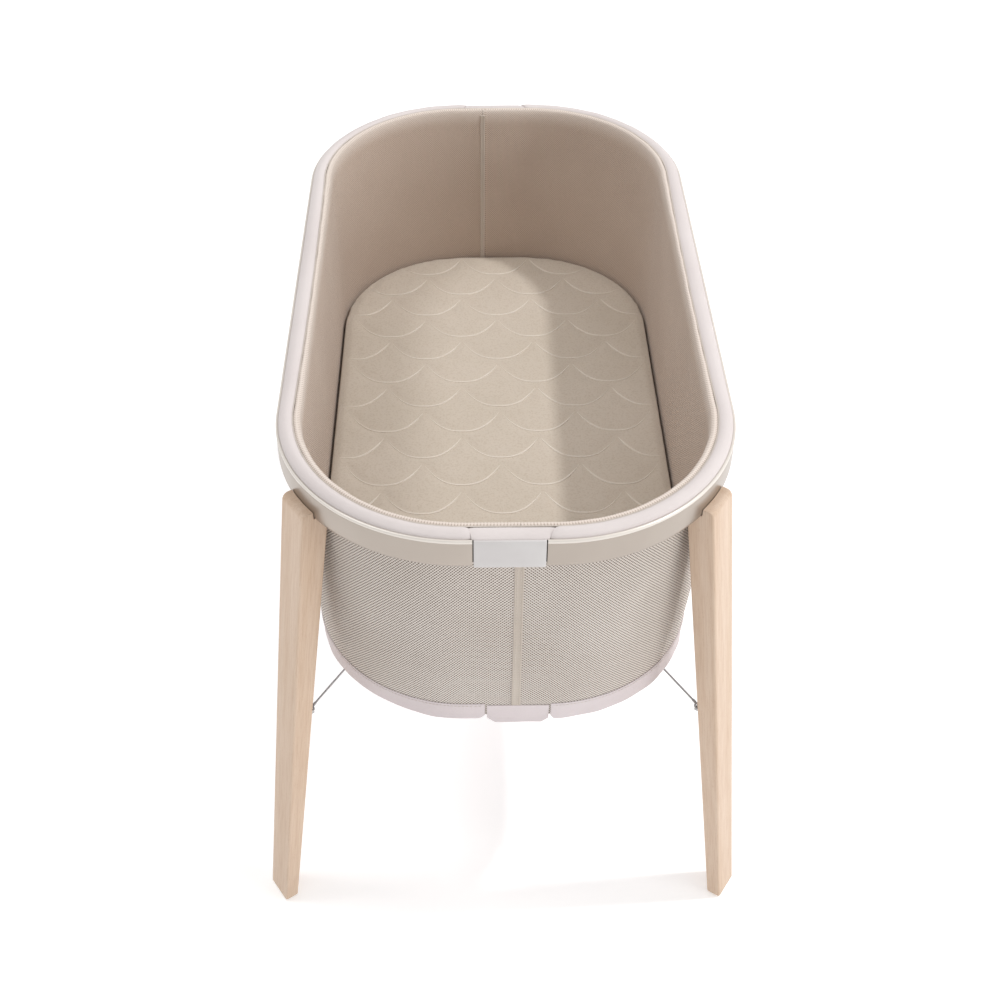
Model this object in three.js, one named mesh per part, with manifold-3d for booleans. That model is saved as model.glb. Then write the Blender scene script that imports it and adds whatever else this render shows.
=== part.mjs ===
// Bassinet on stand: an oval aluminium rim holds a mesh basket and stands on four splayed wooden legs.
// Millimetres, +Z up, +Y towards the rear end, +X to the right. The origin is on the floor below the
// middle of the rim, and the object is nearly symmetric left to right and front to rear.
import * as THREE from 'three';
import { mergeVertices } from 'three/addons/utils/BufferGeometryUtils.js';
import Module from 'manifold-3d';

const wasm = await Module();
wasm.setup();

// ---------- driving dimensions ----------

const GAP = 0.3; // between pieces that touch

// Rim: a bent channel, open towards the basket
const RIM_LENGTH = 930;
const RIM_WIDTH = 510;
const RIM_CORNER = 208; // outer radius of the bends
const RIM_TOP = 680;
const RIM_HEIGHT = 35;
const RIM_DEPTH = 14;
const RIM_WALL = 2;
const RIM_STEPS = 44;
const RIM_BOTTOM = RIM_TOP - RIM_HEIGHT;
const OUTLINE_SEGMENTS = 8; // in each bend of a flat slab

// Connectors that join the two halves of the rim
const CONNECTOR_HALF = 37; // half the length of the cover
const CONNECTOR_SLIT = 1.2; // dark gap between cover and rim
const CONNECTOR_DROP = 1.4; // how far the cover reaches below the rim
const COVER_WALL = 2.6;
const JOINER_REACH = 84; // half the length of the joiner
const JOINER_PLAY = 0.9; // between the joiner and the outer wall of the channel
const RIVET_AT = 62; // along the rim, from the middle of the joiner

// Legs: tapered boards, square to a line from the bend's centre
const LEG_ANGLE = THREE.MathUtils.degToRad(34);
const LEG_BREADTH_TOP = 46;
const LEG_BREADTH_FOOT = 40;
const LEG_DEPTH_TOP = 33;
const LEG_DEPTH_FOOT = 18.5;
const LEG_OUTSET = 13; // how far the leg's outer face stands outside the rim
const LEG_FOOT_RADIUS = 293; // from the bend's centre to the middle of the foot
const LEG_LIP = 9; // height of the lip that laps over the rim's outer face
const LEG_EDGE = 3; // rounding of the long edges
const FOOT_LIFT = 2.4; // the wood ends this far above the floor

// Leg fixing
const BOLT_RADIUS = 3;
const BOLT_HEAD_RADIUS = 5;
const BOLT_HEAD_HEIGHT = 3.8;
const BOLT_REACH = 42; // below the rim
const BOLT_OFFSET = 202.4; // from the bend's centre, at the rim's underside
const BRACKET_HALF = 24;
const BRACKET_HEIGHT = 9.4;
const BRACKET_INNER = 195.5;
const BRACKET_OUTER = 205.1;
const NUT_RADIUS = 5;
const NUT_DEPTH = 30; // below the rim
const NUT_INNER = 13.3; // from the bolt's axis towards the basket
const NUT_OUTER = 11;

// Feet
const GLIDE_INSET = 2.5;
const GLIDE_PLATE = 2.1;
const PEG_RADIUS = 3;
const PEG_HEIGHT = 14;

// Brace: two wires that cross under the basket, each dropped over a pin on a leg
const BRACE_HEIGHT = 325;
const WIRE_RADIUS = 1.25;
const WIRE_BOW = 1.7; // one wire passes over the other
const EYE_RADIUS = 4.6;
const PIN_RADIUS = 2.2;
const PIN_ABOVE = 4.5;
const PIN_REACH = 9; // from the leg's inner face to the pin
const KEEPER_WIDTH = 14;
const KEEPER_HEIGHT = 26;
const KEEPER_PLATE = 2;
const ARM_THICKNESS = 3;
const SCREW_RADIUS = 1.6;
const SCREW_HEAD_RADIUS = 3;
const SCREW_DROP = 9.5; // from the wire's eye down to the screw
const CLIP_SIZE = 18;
const CLIP_HEIGHT = 11;

// Basket
const WALL_THICKNESS = 2.5;
const WALL_TOP = 669;
const WALL_BOTTOM = 366;
const SEAM_FRONT_X = 11;
const SEAM_REAR_X = -16;
const SEAM_WIDTH = 9;
const TAPE_THICKNESS = 1.1;
const SKIRT_TOP = 392;
const SKIRT_BOTTOM = 364.5;
const SKIRT_THICKNESS = 1.4;
const SKIRT_GAP = 0.8; // the band stands off the mesh a little
const TAB_BOTTOM = 357;
const TAB_TOP = 389;
const TAB_HALF = 36;
const TAB_NOTCH = 2.5;
const TAB_SHIFT = 3; // tab centre, from the seam
const WALL_STEPS = 20;
const SKIRT_STEPS = 40;
const FLOOR_FABRIC = 1.4;
const BOARD_THICKNESS = 6;
const BOARD_INSET = 39;

// Trim: a padded fabric roll on top of the rim
const TRIM_END = 42; // the trim halves stop this far from the middle
const TRIM_STEPS = 40;

// Mattress
const MATTRESS_INSET = 32;
const MATTRESS_TAPER = 6; // its underside is this much smaller all round
const MATTRESS_TOP = 437;
const COVER_SKIN = 4;
const MATTRESS_EDGE = 9;

// ---------- materials ----------

function finish(color, roughness, metalness = 0) {
  return new THREE.MeshStandardMaterial({ color, roughness, metalness });
}

const looks = {
  rim: () => finish(0xb3a999, 0.38, 0.85),
  cover: () => finish(0xcfcbca, 0.5),
  joiner: () => finish(0x6e6a66, 0.6),
  steel: () => finish(0x9a9a9c, 0.35, 1),
  castMetal: () => finish(0x8d8f92, 0.5, 0.9),
  wood: () => finish(0xdcc4a4, 0.55),
  glide: () => finish(0xd8d4cc, 0.6),
  clip: () => finish(0x8a8886, 0.5),
  mesh: () => finish(0xbfb3a5, 0.9),
  tape: () => finish(0xc6bab0, 0.85),
  trim: () => finish(0xebe2e6, 0.8),
  skirt: () => finish(0xcdc1c1, 0.85),
  board: () => finish(0xc9b08c, 0.7),
  foam: () => finish(0xf1ede2, 0.9),
  quilt: () => finish(0xcbc3b4, 0.95),
};

// ---------- solids and booleans ----------

// A geometry as a solid, moved by a matrix
function solid(geometry, matrix = new THREE.Matrix4()) {
  const bare = geometry.clone().applyMatrix4(matrix);
  bare.deleteAttribute('normal');
  bare.deleteAttribute('uv');
  const merged = mergeVertices(bare, 1e-4);
  return new wasm.Manifold(new wasm.Mesh({
    numProp: 3,
    vertProperties: new Float32Array(merged.attributes.position.array),
    triVerts: new Uint32Array(merged.index.array),
  }));
}

function geometryOf(shape) {
  const mesh = shape.getMesh();
  const geometry = new THREE.BufferGeometry();
  geometry.setAttribute('position', new THREE.BufferAttribute(mesh.vertProperties, 3));
  geometry.setIndex(new THREE.BufferAttribute(mesh.triVerts, 1));
  geometry.computeVertexNormals();
  return geometry;
}

function cut(shape, ...cutters) {
  return cutters.reduce((rest, cutter) => rest.subtract(cutter), shape);
}

function join(shape, ...others) {
  return others.reduce((whole, other) => whole.add(other), shape);
}

// A box between two corners
function box(low, high) {
  const size = high.map((value, axis) => value - low[axis]);
  const middle = high.map((value, axis) => (value + low[axis]) / 2);
  return new THREE.BoxGeometry(...size).translate(...middle);
}

// A cylinder along +Z, from z = low to z = high
function rod(radius, low, high, sides = 12) {
  return new THREE.CylinderGeometry(radius, radius, high - low, sides)
    .rotateX(Math.PI / 2)
    .translate(0, 0, (low + high) / 2);
}

const alongX = new THREE.Matrix4().makeRotationY(Math.PI / 2);

// ---------- the rim's outline and what follows it ----------

const FRONT_HALF = RIM_WIDTH / 2 - RIM_CORNER; // half the straight stretch at an end
const SIDE_HALF = RIM_LENGTH / 2 - RIM_CORNER; // half the straight stretch of a side
const BEND = RIM_CORNER * Math.PI / 2;
const HALFWAY = 2 * (FRONT_HALF + BEND + SIDE_HALF);
const AROUND = 2 * HALFWAY;

// The place and direction on the outer outline at a distance from the middle of the front, going
// clockwise as seen from above: front, left, rear, right.
function rimPlace(distance) {
  const along = THREE.MathUtils.euclideanModulo(distance, AROUND);
  if (along > HALFWAY) {
    const mirrored = rimPlace(AROUND - along);
    return { x: -mirrored.x, y: mirrored.y, dx: mirrored.dx, dy: -mirrored.dy };
  }
  if (along > HALFWAY / 2) {
    const mirrored = rimPlace(HALFWAY - along);
    return { x: mirrored.x, y: -mirrored.y, dx: -mirrored.dx, dy: mirrored.dy };
  }
  if (along < FRONT_HALF) {
    return { x: -along, y: -RIM_LENGTH / 2, dx: -1, dy: 0 };
  }
  if (along < FRONT_HALF + BEND) {
    const turn = (along - FRONT_HALF) / RIM_CORNER;
    const sin = Math.sin(turn);
    const cos = Math.cos(turn);
    return { x: -FRONT_HALF - RIM_CORNER * sin, y: -SIDE_HALF - RIM_CORNER * cos, dx: -cos, dy: sin };
  }
  return { x: -RIM_WIDTH / 2, y: along - FRONT_HALF - BEND - SIDE_HALF, dx: 0, dy: 1 };
}

class RimCurve extends THREE.Curve {
  constructor(from, to) {
    super();
    this.from = from;
    this.to = to;
  }

  getUtoTmapping(u) {
    return u;
  }

  getPoint(t, target = new THREE.Vector3()) {
    const place = rimPlace(THREE.MathUtils.lerp(this.from, this.to, t));
    return target.set(place.x, place.y, 0);
  }

  getTangent(t, target = new THREE.Vector3()) {
    const place = rimPlace(THREE.MathUtils.lerp(this.from, this.to, t));
    return target.set(place.dx, place.dy, 0);
  }
}

// A section of [outward, z] points carried round the outline. Outward is negative inside the rim.
function sweep(section, from, to, steps) {
  const shape = new THREE.Shape(section.map(([out, z]) => new THREE.Vector2(-z, out)));
  return new THREE.ExtrudeGeometry(shape, { extrudePath: new RimCurve(from, to), steps });
}

// The outline drawn inset, as a flat shape
function insetShape(inset) {
  const radius = RIM_CORNER - inset;
  const shape = new THREE.Shape();
  shape.absarc(FRONT_HALF, -SIDE_HALF, radius, -Math.PI / 2, 0);
  shape.absarc(FRONT_HALF, SIDE_HALF, radius, 0, Math.PI / 2);
  shape.absarc(-FRONT_HALF, SIDE_HALF, radius, Math.PI / 2, Math.PI);
  shape.absarc(-FRONT_HALF, -SIDE_HALF, radius, Math.PI, 3 * Math.PI / 2);
  return shape;
}

// A flat slab of the inset outline between two heights
function slab(inset, low, high) {
  return new THREE.ExtrudeGeometry(insetShape(inset), {
    depth: high - low, bevelEnabled: false, curveSegments: OUTLINE_SEGMENTS,
  }).translate(0, 0, low);
}

// ---------- leg frames ----------

// Each leg lies in a frame of its own: the bend's centre is the origin and +X points out along the leg's
// plane. Everything on a leg is symmetric about that plane.
const corners = [
  { name: 'front_left', sideX: -1, sideY: -1 },
  { name: 'front_right', sideX: 1, sideY: -1 },
  { name: 'rear_left', sideX: -1, sideY: 1 },
  { name: 'rear_right', sideX: 1, sideY: 1 },
];

function cornerMatrix({ sideX, sideY }) {
  const angle = Math.atan2(sideY * Math.sin(LEG_ANGLE), sideX * Math.cos(LEG_ANGLE));
  return new THREE.Matrix4().makeRotationZ(angle).setPosition(sideX * FRONT_HALF, sideY * SIDE_HALF, 0);
}

const LEG_TOP_RADIUS = RIM_CORNER + LEG_OUTSET - LEG_DEPTH_TOP / 2;
const LEG_LEAN = Math.atan2(LEG_FOOT_RADIUS - LEG_TOP_RADIUS, RIM_BOTTOM);

// The bolt's frame: its origin is on the rim's underside and +Z runs up the bolt
const boltMatrix = new THREE.Matrix4().makeRotationY(-LEG_LEAN).setPosition(BOLT_OFFSET, 0, RIM_BOTTOM);

// How far down the leg a height is: 0 at the rim's underside, 1 at the floor
function downLeg(z) {
  return (RIM_BOTTOM - z) / RIM_BOTTOM;
}

// Where the leg's inner face is at a height, from the bend's centre
function innerFace(z) {
  const middle = THREE.MathUtils.lerp(LEG_TOP_RADIUS, LEG_FOOT_RADIUS, downLeg(z));
  return middle - THREE.MathUtils.lerp(LEG_DEPTH_TOP, LEG_DEPTH_FOOT, downLeg(z)) / 2;
}

const FACE_LEAN = Math.atan2(innerFace(0) - innerFace(RIM_BOTTOM), RIM_BOTTOM);

// The keeper's frame: on the leg's inner face at the brace's height, +X out of the wood
const keeperMatrix = new THREE.Matrix4()
  .makeRotationY(-FACE_LEAN)
  .multiply(new THREE.Matrix4().makeRotationZ(Math.PI))
  .setPosition(innerFace(BRACE_HEIGHT), 0, BRACE_HEIGHT);

// ---------- rim ----------

const rimSection = [
  [-1.4, RIM_TOP],
  [0, RIM_TOP - 1.4],
  [0, RIM_BOTTOM + 1.6],
  [-1.6, RIM_BOTTOM],
  [-RIM_DEPTH, RIM_BOTTOM],
  [-RIM_DEPTH, RIM_BOTTOM + RIM_WALL],
  [-RIM_WALL, RIM_BOTTOM + RIM_WALL],
  [-RIM_WALL, RIM_TOP - RIM_WALL],
  [-RIM_DEPTH, RIM_TOP - RIM_WALL],
  [-RIM_DEPTH, RIM_TOP],
];

function rivetMatrix(distance) {
  const { x, y, dx, dy } = rimPlace(distance);
  const inward = RIM_DEPTH / 2 + 0.5;
  return new THREE.Matrix4().setPosition(x + dy * inward, y - dx * inward, RIM_BOTTOM);
}

// Half of the rim, between the middles of two connectors
function rimHalf(start, end, legs) {
  const slit = CONNECTOR_HALF + CONNECTOR_SLIT;
  const channel = solid(sweep(rimSection, start + slit, end - slit, RIM_STEPS));
  const boltHoles = legs.map((corner) => solid(
    rod(BOLT_RADIUS + 1, -10, 10),
    cornerMatrix(corner).multiply(boltMatrix),
  ));
  const rivetHoles = [start + RIVET_AT, end - RIVET_AT]
    .map((distance) => solid(rod(SCREW_RADIUS + GAP, -3, RIM_WALL + 3), rivetMatrix(distance)));
  return geometryOf(cut(channel, ...boltHoles, ...rivetHoles));
}

function rimJoiner(middle) {
  const outer = -COVER_WALL - 2 * GAP;
  const section = [
    [outer, RIM_BOTTOM + RIM_WALL + COVER_WALL],
    [-RIM_DEPTH + 0.5, RIM_BOTTOM + RIM_WALL + COVER_WALL],
    [-RIM_DEPTH + 0.5, RIM_TOP - RIM_WALL - COVER_WALL],
    [outer, RIM_TOP - RIM_WALL - COVER_WALL],
  ];
  const tongue = [
    [-RIM_WALL - JOINER_PLAY, RIM_BOTTOM + RIM_WALL + GAP],
    [-RIM_DEPTH + 0.5, RIM_BOTTOM + RIM_WALL + GAP],
    [-RIM_DEPTH + 0.5, RIM_TOP - RIM_WALL - GAP],
    [-RIM_WALL - JOINER_PLAY, RIM_TOP - RIM_WALL - GAP],
  ];
  const neck = solid(sweep(section, middle - CONNECTOR_HALF - 4, middle + CONNECTOR_HALF + 4, 4));
  const inside = CONNECTOR_HALF + CONNECTOR_SLIT;
  const ends = [[-JOINER_REACH, -inside], [inside, JOINER_REACH]]
    .map(([from, to]) => solid(sweep(tongue, middle + from, middle + to, 3)));
  const rivetHoles = [-RIVET_AT, RIVET_AT]
    .map((offset) => solid(rod(SCREW_RADIUS + GAP, -3, 14), rivetMatrix(middle + offset)));
  return geometryOf(cut(join(neck, ...ends), ...rivetHoles));
}

function connectorCover(middle) {
  const bottom = RIM_BOTTOM - CONNECTOR_DROP;
  const section = [
    [-1.2, RIM_TOP],
    [0, RIM_TOP - 1.2],
    [0, bottom + 1.2],
    [-1.2, bottom],
    [-RIM_DEPTH, bottom],
    [-RIM_DEPTH, RIM_BOTTOM + COVER_WALL],
    [-COVER_WALL, RIM_BOTTOM + COVER_WALL],
    [-COVER_WALL, RIM_TOP - COVER_WALL],
    [-RIM_DEPTH, RIM_TOP - COVER_WALL],
    [-RIM_DEPTH, RIM_TOP],
  ];
  return sweep(section, middle - CONNECTOR_HALF, middle + CONNECTOR_HALF, 1);
}

// A domed head below the channel and a shank up into the joiner
function joinerRivet() {
  const profile = [[0, -1.6], [2, -1.2], [3, -GAP], [SCREW_RADIUS, -GAP], [SCREW_RADIUS, 12], [0, 12]]
    .map(([radius, z]) => new THREE.Vector2(radius, z));
  return new THREE.LatheGeometry(profile, 10).rotateX(Math.PI / 2);
}

// ---------- legs and their fixings ----------

function roundedRectangle(depth, breadth, radius) {
  const x = depth / 2 - radius;
  const y = breadth / 2 - radius;
  const shape = new THREE.Shape();
  shape.absarc(x, -y, radius, -Math.PI / 2, 0);
  shape.absarc(x, y, radius, 0, Math.PI / 2);
  shape.absarc(-x, y, radius, Math.PI / 2, Math.PI);
  shape.absarc(-x, -y, radius, Math.PI, 3 * Math.PI / 2);
  return shape;
}

// A straight board from the foot to the lip, whose section shrinks and moves out on the way down
function taperedBoard() {
  const shape = roundedRectangle(LEG_DEPTH_TOP, LEG_BREADTH_TOP, LEG_EDGE);
  const top = RIM_BOTTOM + LEG_LIP;
  const board = new THREE.ExtrudeGeometry(shape, {
    depth: top - FOOT_LIFT, bevelEnabled: false, curveSegments: 2,
  }).translate(0, 0, FOOT_LIFT);
  const place = board.attributes.position;
  for (let i = 0; i < place.count; i += 1) {
    const down = downLeg(place.getZ(i));
    const depth = THREE.MathUtils.lerp(LEG_DEPTH_TOP, LEG_DEPTH_FOOT, down) / LEG_DEPTH_TOP;
    const breadth = THREE.MathUtils.lerp(LEG_BREADTH_TOP, LEG_BREADTH_FOOT, down) / LEG_BREADTH_TOP;
    const middle = THREE.MathUtils.lerp(LEG_TOP_RADIUS, LEG_FOOT_RADIUS, down);
    place.setX(i, place.getX(i) * depth + middle);
    place.setY(i, place.getY(i) * breadth);
  }
  return board;
}

// The barrel nut lies across the bolt, with its open end at the leg's inner face
function nutRod(radius, inner, outer) {
  return solid(
    rod(radius, -inner, outer),
    new THREE.Matrix4().makeTranslation(0, 0, -NUT_DEPTH).multiply(alongX),
  ).transform(boltMatrix.elements);
}

function legShape() {
  const rimSpace = solid(rod(RIM_CORNER + GAP, RIM_BOTTOM - GAP, RIM_TOP, 120));
  const boltBore = solid(rod(BOLT_RADIUS + 0.6, -BOLT_REACH - 3, 10), boltMatrix);
  const nutBore = nutRod(NUT_RADIUS + GAP, NUT_INNER + 20, NUT_OUTER + GAP);
  const pegMatrix = new THREE.Matrix4().setPosition(LEG_FOOT_RADIUS, 0, 0);
  const pegBore = solid(rod(PEG_RADIUS + GAP, -1, PEG_HEIGHT + 1), pegMatrix);
  const screwBore = solid(rod(SCREW_RADIUS + GAP, -11, 5), screwMatrix());
  return geometryOf(cut(solid(taperedBoard()), rimSpace, boltBore, nutBore, pegBore, screwBore));
}

function barrelNut() {
  const hole = solid(rod(BOLT_RADIUS + 0.4, -NUT_DEPTH - 10, -NUT_DEPTH + 10), boltMatrix);
  return geometryOf(cut(nutRod(NUT_RADIUS, NUT_INNER, NUT_OUTER), hole));
}

// A curved block inside the channel, clamped by the leg bolt
function legBracket() {
  const low = RIM_BOTTOM + RIM_WALL + GAP;
  const block = solid(box(
    [BRACKET_INNER, -BRACKET_HALF, low],
    [RIM_CORNER, BRACKET_HALF, low + BRACKET_HEIGHT],
  ));
  const bend = solid(rod(BRACKET_OUTER, 0, RIM_TOP, 120));
  const hole = solid(rod(BOLT_RADIUS + 0.5, -5, 20), boltMatrix);
  return geometryOf(block.intersect(bend).subtract(hole));
}

// A socket-head bolt: its origin is on the rim's underside, like the bolt's frame
function legBolt() {
  const seat = RIM_WALL + 2 * GAP + BRACKET_HEIGHT + 0.8;
  const shank = solid(rod(BOLT_RADIUS, -BOLT_REACH, seat + 1));
  const head = solid(rod(BOLT_HEAD_RADIUS, seat, seat + BOLT_HEAD_HEIGHT, 16));
  const socket = solid(rod(2.4, seat + 1.2, seat + BOLT_HEAD_HEIGHT + 1, 6));
  return geometryOf(cut(join(shank, head), socket));
}

function footGlide() {
  const outline = roundedRectangle(LEG_DEPTH_FOOT - 2 * GLIDE_INSET, LEG_BREADTH_FOOT - 2 * GLIDE_INSET, 3);
  const plate = new THREE.ExtrudeGeometry(outline, {
    depth: GLIDE_PLATE, bevelEnabled: false, curveSegments: 2,
  });
  return geometryOf(join(solid(plate), solid(rod(PEG_RADIUS, 1, PEG_HEIGHT, 8))));
}

// ---------- brace ----------

function screwMatrix() {
  return keeperMatrix.clone()
    .multiply(new THREE.Matrix4().setPosition(0, 0, -SCREW_DROP))
    .multiply(alongX);
}

// A plate on the leg with an arm below the wire's eye and a pin that the eye drops over. The pin runs
// along the leg, so that the leg can slide off the eye.
function wireKeeper() {
  const armTop = -WIRE_RADIUS - 1;
  const plate = solid(box(
    [GAP, -KEEPER_WIDTH / 2, -KEEPER_HEIGHT / 2 - 2],
    [GAP + KEEPER_PLATE, KEEPER_WIDTH / 2, KEEPER_HEIGHT / 2 - 12],
  ));
  const arm = solid(box(
    [GAP + 1, -4, armTop - ARM_THICKNESS],
    [PIN_REACH + 4, 4, armTop],
  ));
  const pinMatrix = new THREE.Matrix4().setPosition(PIN_REACH, 0, 0);
  const pin = solid(rod(PIN_RADIUS, armTop - 1, PIN_ABOVE), pinMatrix);
  const hole = solid(
    rod(SCREW_RADIUS + GAP, -5, 8),
    new THREE.Matrix4().setPosition(0, 0, -SCREW_DROP).multiply(alongX),
  );
  return geometryOf(cut(join(plate, arm, pin), hole));
}

function keeperScrew() {
  const face = GAP + KEEPER_PLATE + GAP;
  const profile = [
    [0, -10],
    [SCREW_RADIUS, -9],
    [SCREW_RADIUS, face],
    [SCREW_HEAD_RADIUS, face],
    [SCREW_HEAD_RADIUS, face + 0.8],
    [SCREW_HEAD_RADIUS - 1, face + 1.8],
    [0, face + 2],
  ].map(([radius, z]) => new THREE.Vector2(radius, z));
  return new THREE.LatheGeometry(profile, 10).rotateX(Math.PI / 2);
}

// Where the pin of a corner's keeper is
function pinPlace(corner) {
  return new THREE.Vector3(PIN_REACH, 0, 0).applyMatrix4(cornerMatrix(corner).multiply(keeperMatrix));
}

// A straight wire with an eye at each end, bowed a little where it crosses the other
function braceWire(start, end, bow) {
  const from = pinPlace(start);
  const to = pinPlace(end);
  const along = to.clone().sub(from).normalize();
  const middle = from.clone().lerp(to, 0.5).add(new THREE.Vector3(0, 0, bow));
  const path = new THREE.CatmullRomCurve3([
    from.clone().addScaledVector(along, EYE_RADIUS),
    from.clone().lerp(to, 0.4).add(new THREE.Vector3(0, 0, bow)),
    middle,
    from.clone().lerp(to, 0.6).add(new THREE.Vector3(0, 0, bow)),
    to.clone().addScaledVector(along, -EYE_RADIUS),
  ], false, 'centripetal');
  const section = new THREE.Shape().absarc(0, 0, WIRE_RADIUS, 0, 2 * Math.PI);
  const wire = new THREE.ExtrudeGeometry(section, { extrudePath: path, steps: 10, curveSegments: 4 });
  const eye = new THREE.TorusGeometry(EYE_RADIUS, WIRE_RADIUS, 6, 14);
  const eyes = [from, to].map((place) => solid(eye, new THREE.Matrix4().setPosition(place)));
  return geometryOf(join(solid(wire), ...eyes));
}

// A small block at the crossing, with a hole for each wire
function crossClip() {
  const half = CLIP_SIZE / 2;
  const block = solid(box([-half, -half, -CLIP_HEIGHT / 2], [half, half, CLIP_HEIGHT / 2]));
  const holes = [[corners[0], WIRE_BOW], [corners[1], -WIRE_BOW]].map(([corner, bow]) => {
    const pin = pinPlace(corner);
    const turned = new THREE.Matrix4().makeRotationZ(Math.atan2(pin.y, pin.x)).multiply(alongX);
    return solid(rod(WIRE_RADIUS + 0.3, -half * 2, half * 2, 12), turned.setPosition(0, 0, bow));
  });
  return geometryOf(cut(block, ...holes));
}

// ---------- basket ----------

// How far inside the outline the outer face of the mesh wall is, at a few heights
const wallFace = [
  [WALL_TOP, 15.3],
  [RIM_BOTTOM + 2, 20.8],
  [450, 25.8],
  [SKIRT_TOP, 30.6],
  [WALL_BOTTOM, 34.4],
];

function wallInset(z) {
  const lower = wallFace.findIndex(([height]) => height <= z);
  const [highZ, highInset] = wallFace[lower - 1] ?? wallFace[0];
  const [lowZ, lowInset] = wallFace[Math.max(lower, 0)];
  return highZ === lowZ ? lowInset : THREE.MathUtils.mapLinear(z, lowZ, highZ, lowInset, highInset);
}

// A skin of a given thickness that lies outside the wall by a gap, between two heights
function skinSection(low, high, gap, thickness) {
  const heights = [high, ...wallFace.map(([z]) => z).filter((z) => z < high && z > low), low];
  const face = (z, out) => [-wallInset(Math.max(z, WALL_BOTTOM)) + out, z];
  return [
    ...heights.map((z) => face(z, gap + thickness)),
    ...heights.reverse().map((z) => face(z, gap)),
  ];
}

// A quarter of the wall. The cloth of each half runs on past the middle of the side, but a solid that
// holds one bend only is a simpler one.
function meshWall(from, to) {
  const section = skinSection(WALL_BOTTOM, WALL_TOP, -WALL_THICKNESS, WALL_THICKNESS);
  return sweep(section, from, to, WALL_STEPS);
}

function seamTape(middle) {
  const section = skinSection(SKIRT_TOP + 1, RIM_BOTTOM - 3, GAP, TAPE_THICKNESS);
  return sweep(section, middle - SEAM_WIDTH / 2, middle + SEAM_WIDTH / 2, 1);
}

function skirtBand(low, high, from, to, steps) {
  return sweep(skinSection(low, high, SKIRT_GAP, SKIRT_THICKNESS), from, to, steps);
}

// ---------- trim ----------

const DROP = RIM_DEPTH + 0.6; // where the trim goes down past the channel's open side

const trimSection = [
  [-2.6, RIM_TOP + GAP],
  [-2.4, RIM_TOP + 3.5],
  [-5, RIM_TOP + 7.6],
  [-11, RIM_TOP + 9.8],
  [-18, RIM_TOP + 7.6],
  [-21, RIM_TOP + 1],
  [-20, WALL_TOP + GAP],
  [-DROP, WALL_TOP + GAP],
  [-DROP, RIM_TOP + GAP],
];

// The flap over a connector is flatter than the roll beside it
const flapSection = [
  [-1.8, RIM_TOP + GAP],
  [-2.2, RIM_TOP + 2.2],
  [-9, RIM_TOP + 5.6],
  [-16, RIM_TOP + 6.6],
  [-19.6, RIM_TOP + 4.4],
  [-20.6, RIM_TOP],
  [-20, WALL_TOP + GAP],
  [-DROP, WALL_TOP + GAP],
  [-DROP, RIM_TOP + GAP],
];

// ---------- mattress ----------

const FLOOR_TOP = WALL_BOTTOM + FLOOR_FABRIC;
const BOARD_TOP = FLOOR_TOP + GAP + BOARD_THICKNESS;
const MATTRESS_BOTTOM = BOARD_TOP + GAP;
const CORE_INSET = MATTRESS_INSET + COVER_SKIN;

// Draws the lower part of a slab in towards the middle, as the basket's walls lean in
function tapered(geometry) {
  const place = geometry.attributes.position;
  for (let i = 0; i < place.count; i += 1) {
    const straightX = THREE.MathUtils.clamp(place.getX(i), -FRONT_HALF, FRONT_HALF);
    const straightY = THREE.MathUtils.clamp(place.getY(i), -SIDE_HALF, SIDE_HALF);
    const out = new THREE.Vector2(place.getX(i) - straightX, place.getY(i) - straightY);
    const rise = (place.getZ(i) - MATTRESS_BOTTOM) / (MATTRESS_TOP - MATTRESS_BOTTOM - MATTRESS_EDGE);
    out.setLength(out.length() - MATTRESS_TAPER * (1 - Math.min(rise, 1)));
    place.setX(i, straightX + out.x);
    place.setY(i, straightY + out.y);
  }
  return geometry;
}

function mattressCore() {
  return tapered(slab(CORE_INSET, MATTRESS_BOTTOM, MATTRESS_TOP - COVER_SKIN - GAP));
}

// A fitted cover with a rounded upper edge, open underneath
function mattressCover() {
  const bevel = {
    depth: MATTRESS_TOP - MATTRESS_BOTTOM - 2 * MATTRESS_EDGE,
    bevelThickness: MATTRESS_EDGE,
    bevelSize: MATTRESS_EDGE,
    bevelSegments: 2,
    curveSegments: OUTLINE_SEGMENTS,
  };
  const pad = new THREE.ExtrudeGeometry(insetShape(MATTRESS_INSET + MATTRESS_EDGE), bevel)
    .translate(0, 0, MATTRESS_BOTTOM + MATTRESS_EDGE);
  const hollow = slab(CORE_INSET - GAP, MATTRESS_BOTTOM - 5, MATTRESS_TOP - COVER_SKIN);
  return geometryOf(cut(solid(tapered(pad)), solid(tapered(hollow))));
}

// ---------- assembly ----------

const bassinet = new THREE.Group();

function add(parent, name, geometry, look, matrix) {
  const mesh = new THREE.Mesh(geometry, looks[look]());
  mesh.name = name;
  if (matrix) {
    matrix.decompose(mesh.position, mesh.quaternion, mesh.scale);
  }
  parent.add(mesh);
}

function addRim() {
  const leftLegs = corners.filter(({ sideX }) => sideX < 0);
  const rightLegs = corners.filter(({ sideX }) => sideX > 0);
  add(bassinet, 'rim_frame_left', rimHalf(0, HALFWAY, leftLegs), 'rim');
  add(bassinet, 'rim_frame_right', rimHalf(HALFWAY, AROUND, rightLegs), 'rim');
  for (const [end, middle] of [['front', 0], ['rear', HALFWAY]]) {
    add(bassinet, `rim_joiner_${end}`, rimJoiner(middle), 'joiner');
    add(bassinet, `connector_cover_${end}`, connectorCover(middle), 'cover');
    for (const offset of [-RIVET_AT, RIVET_AT]) {
      const side = rimPlace(middle + offset).x < 0 ? 'left' : 'right';
      add(bassinet, `joiner_rivet_${end}_${side}`, joinerRivet(), 'steel', rivetMatrix(middle + offset));
    }
  }
}

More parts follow.
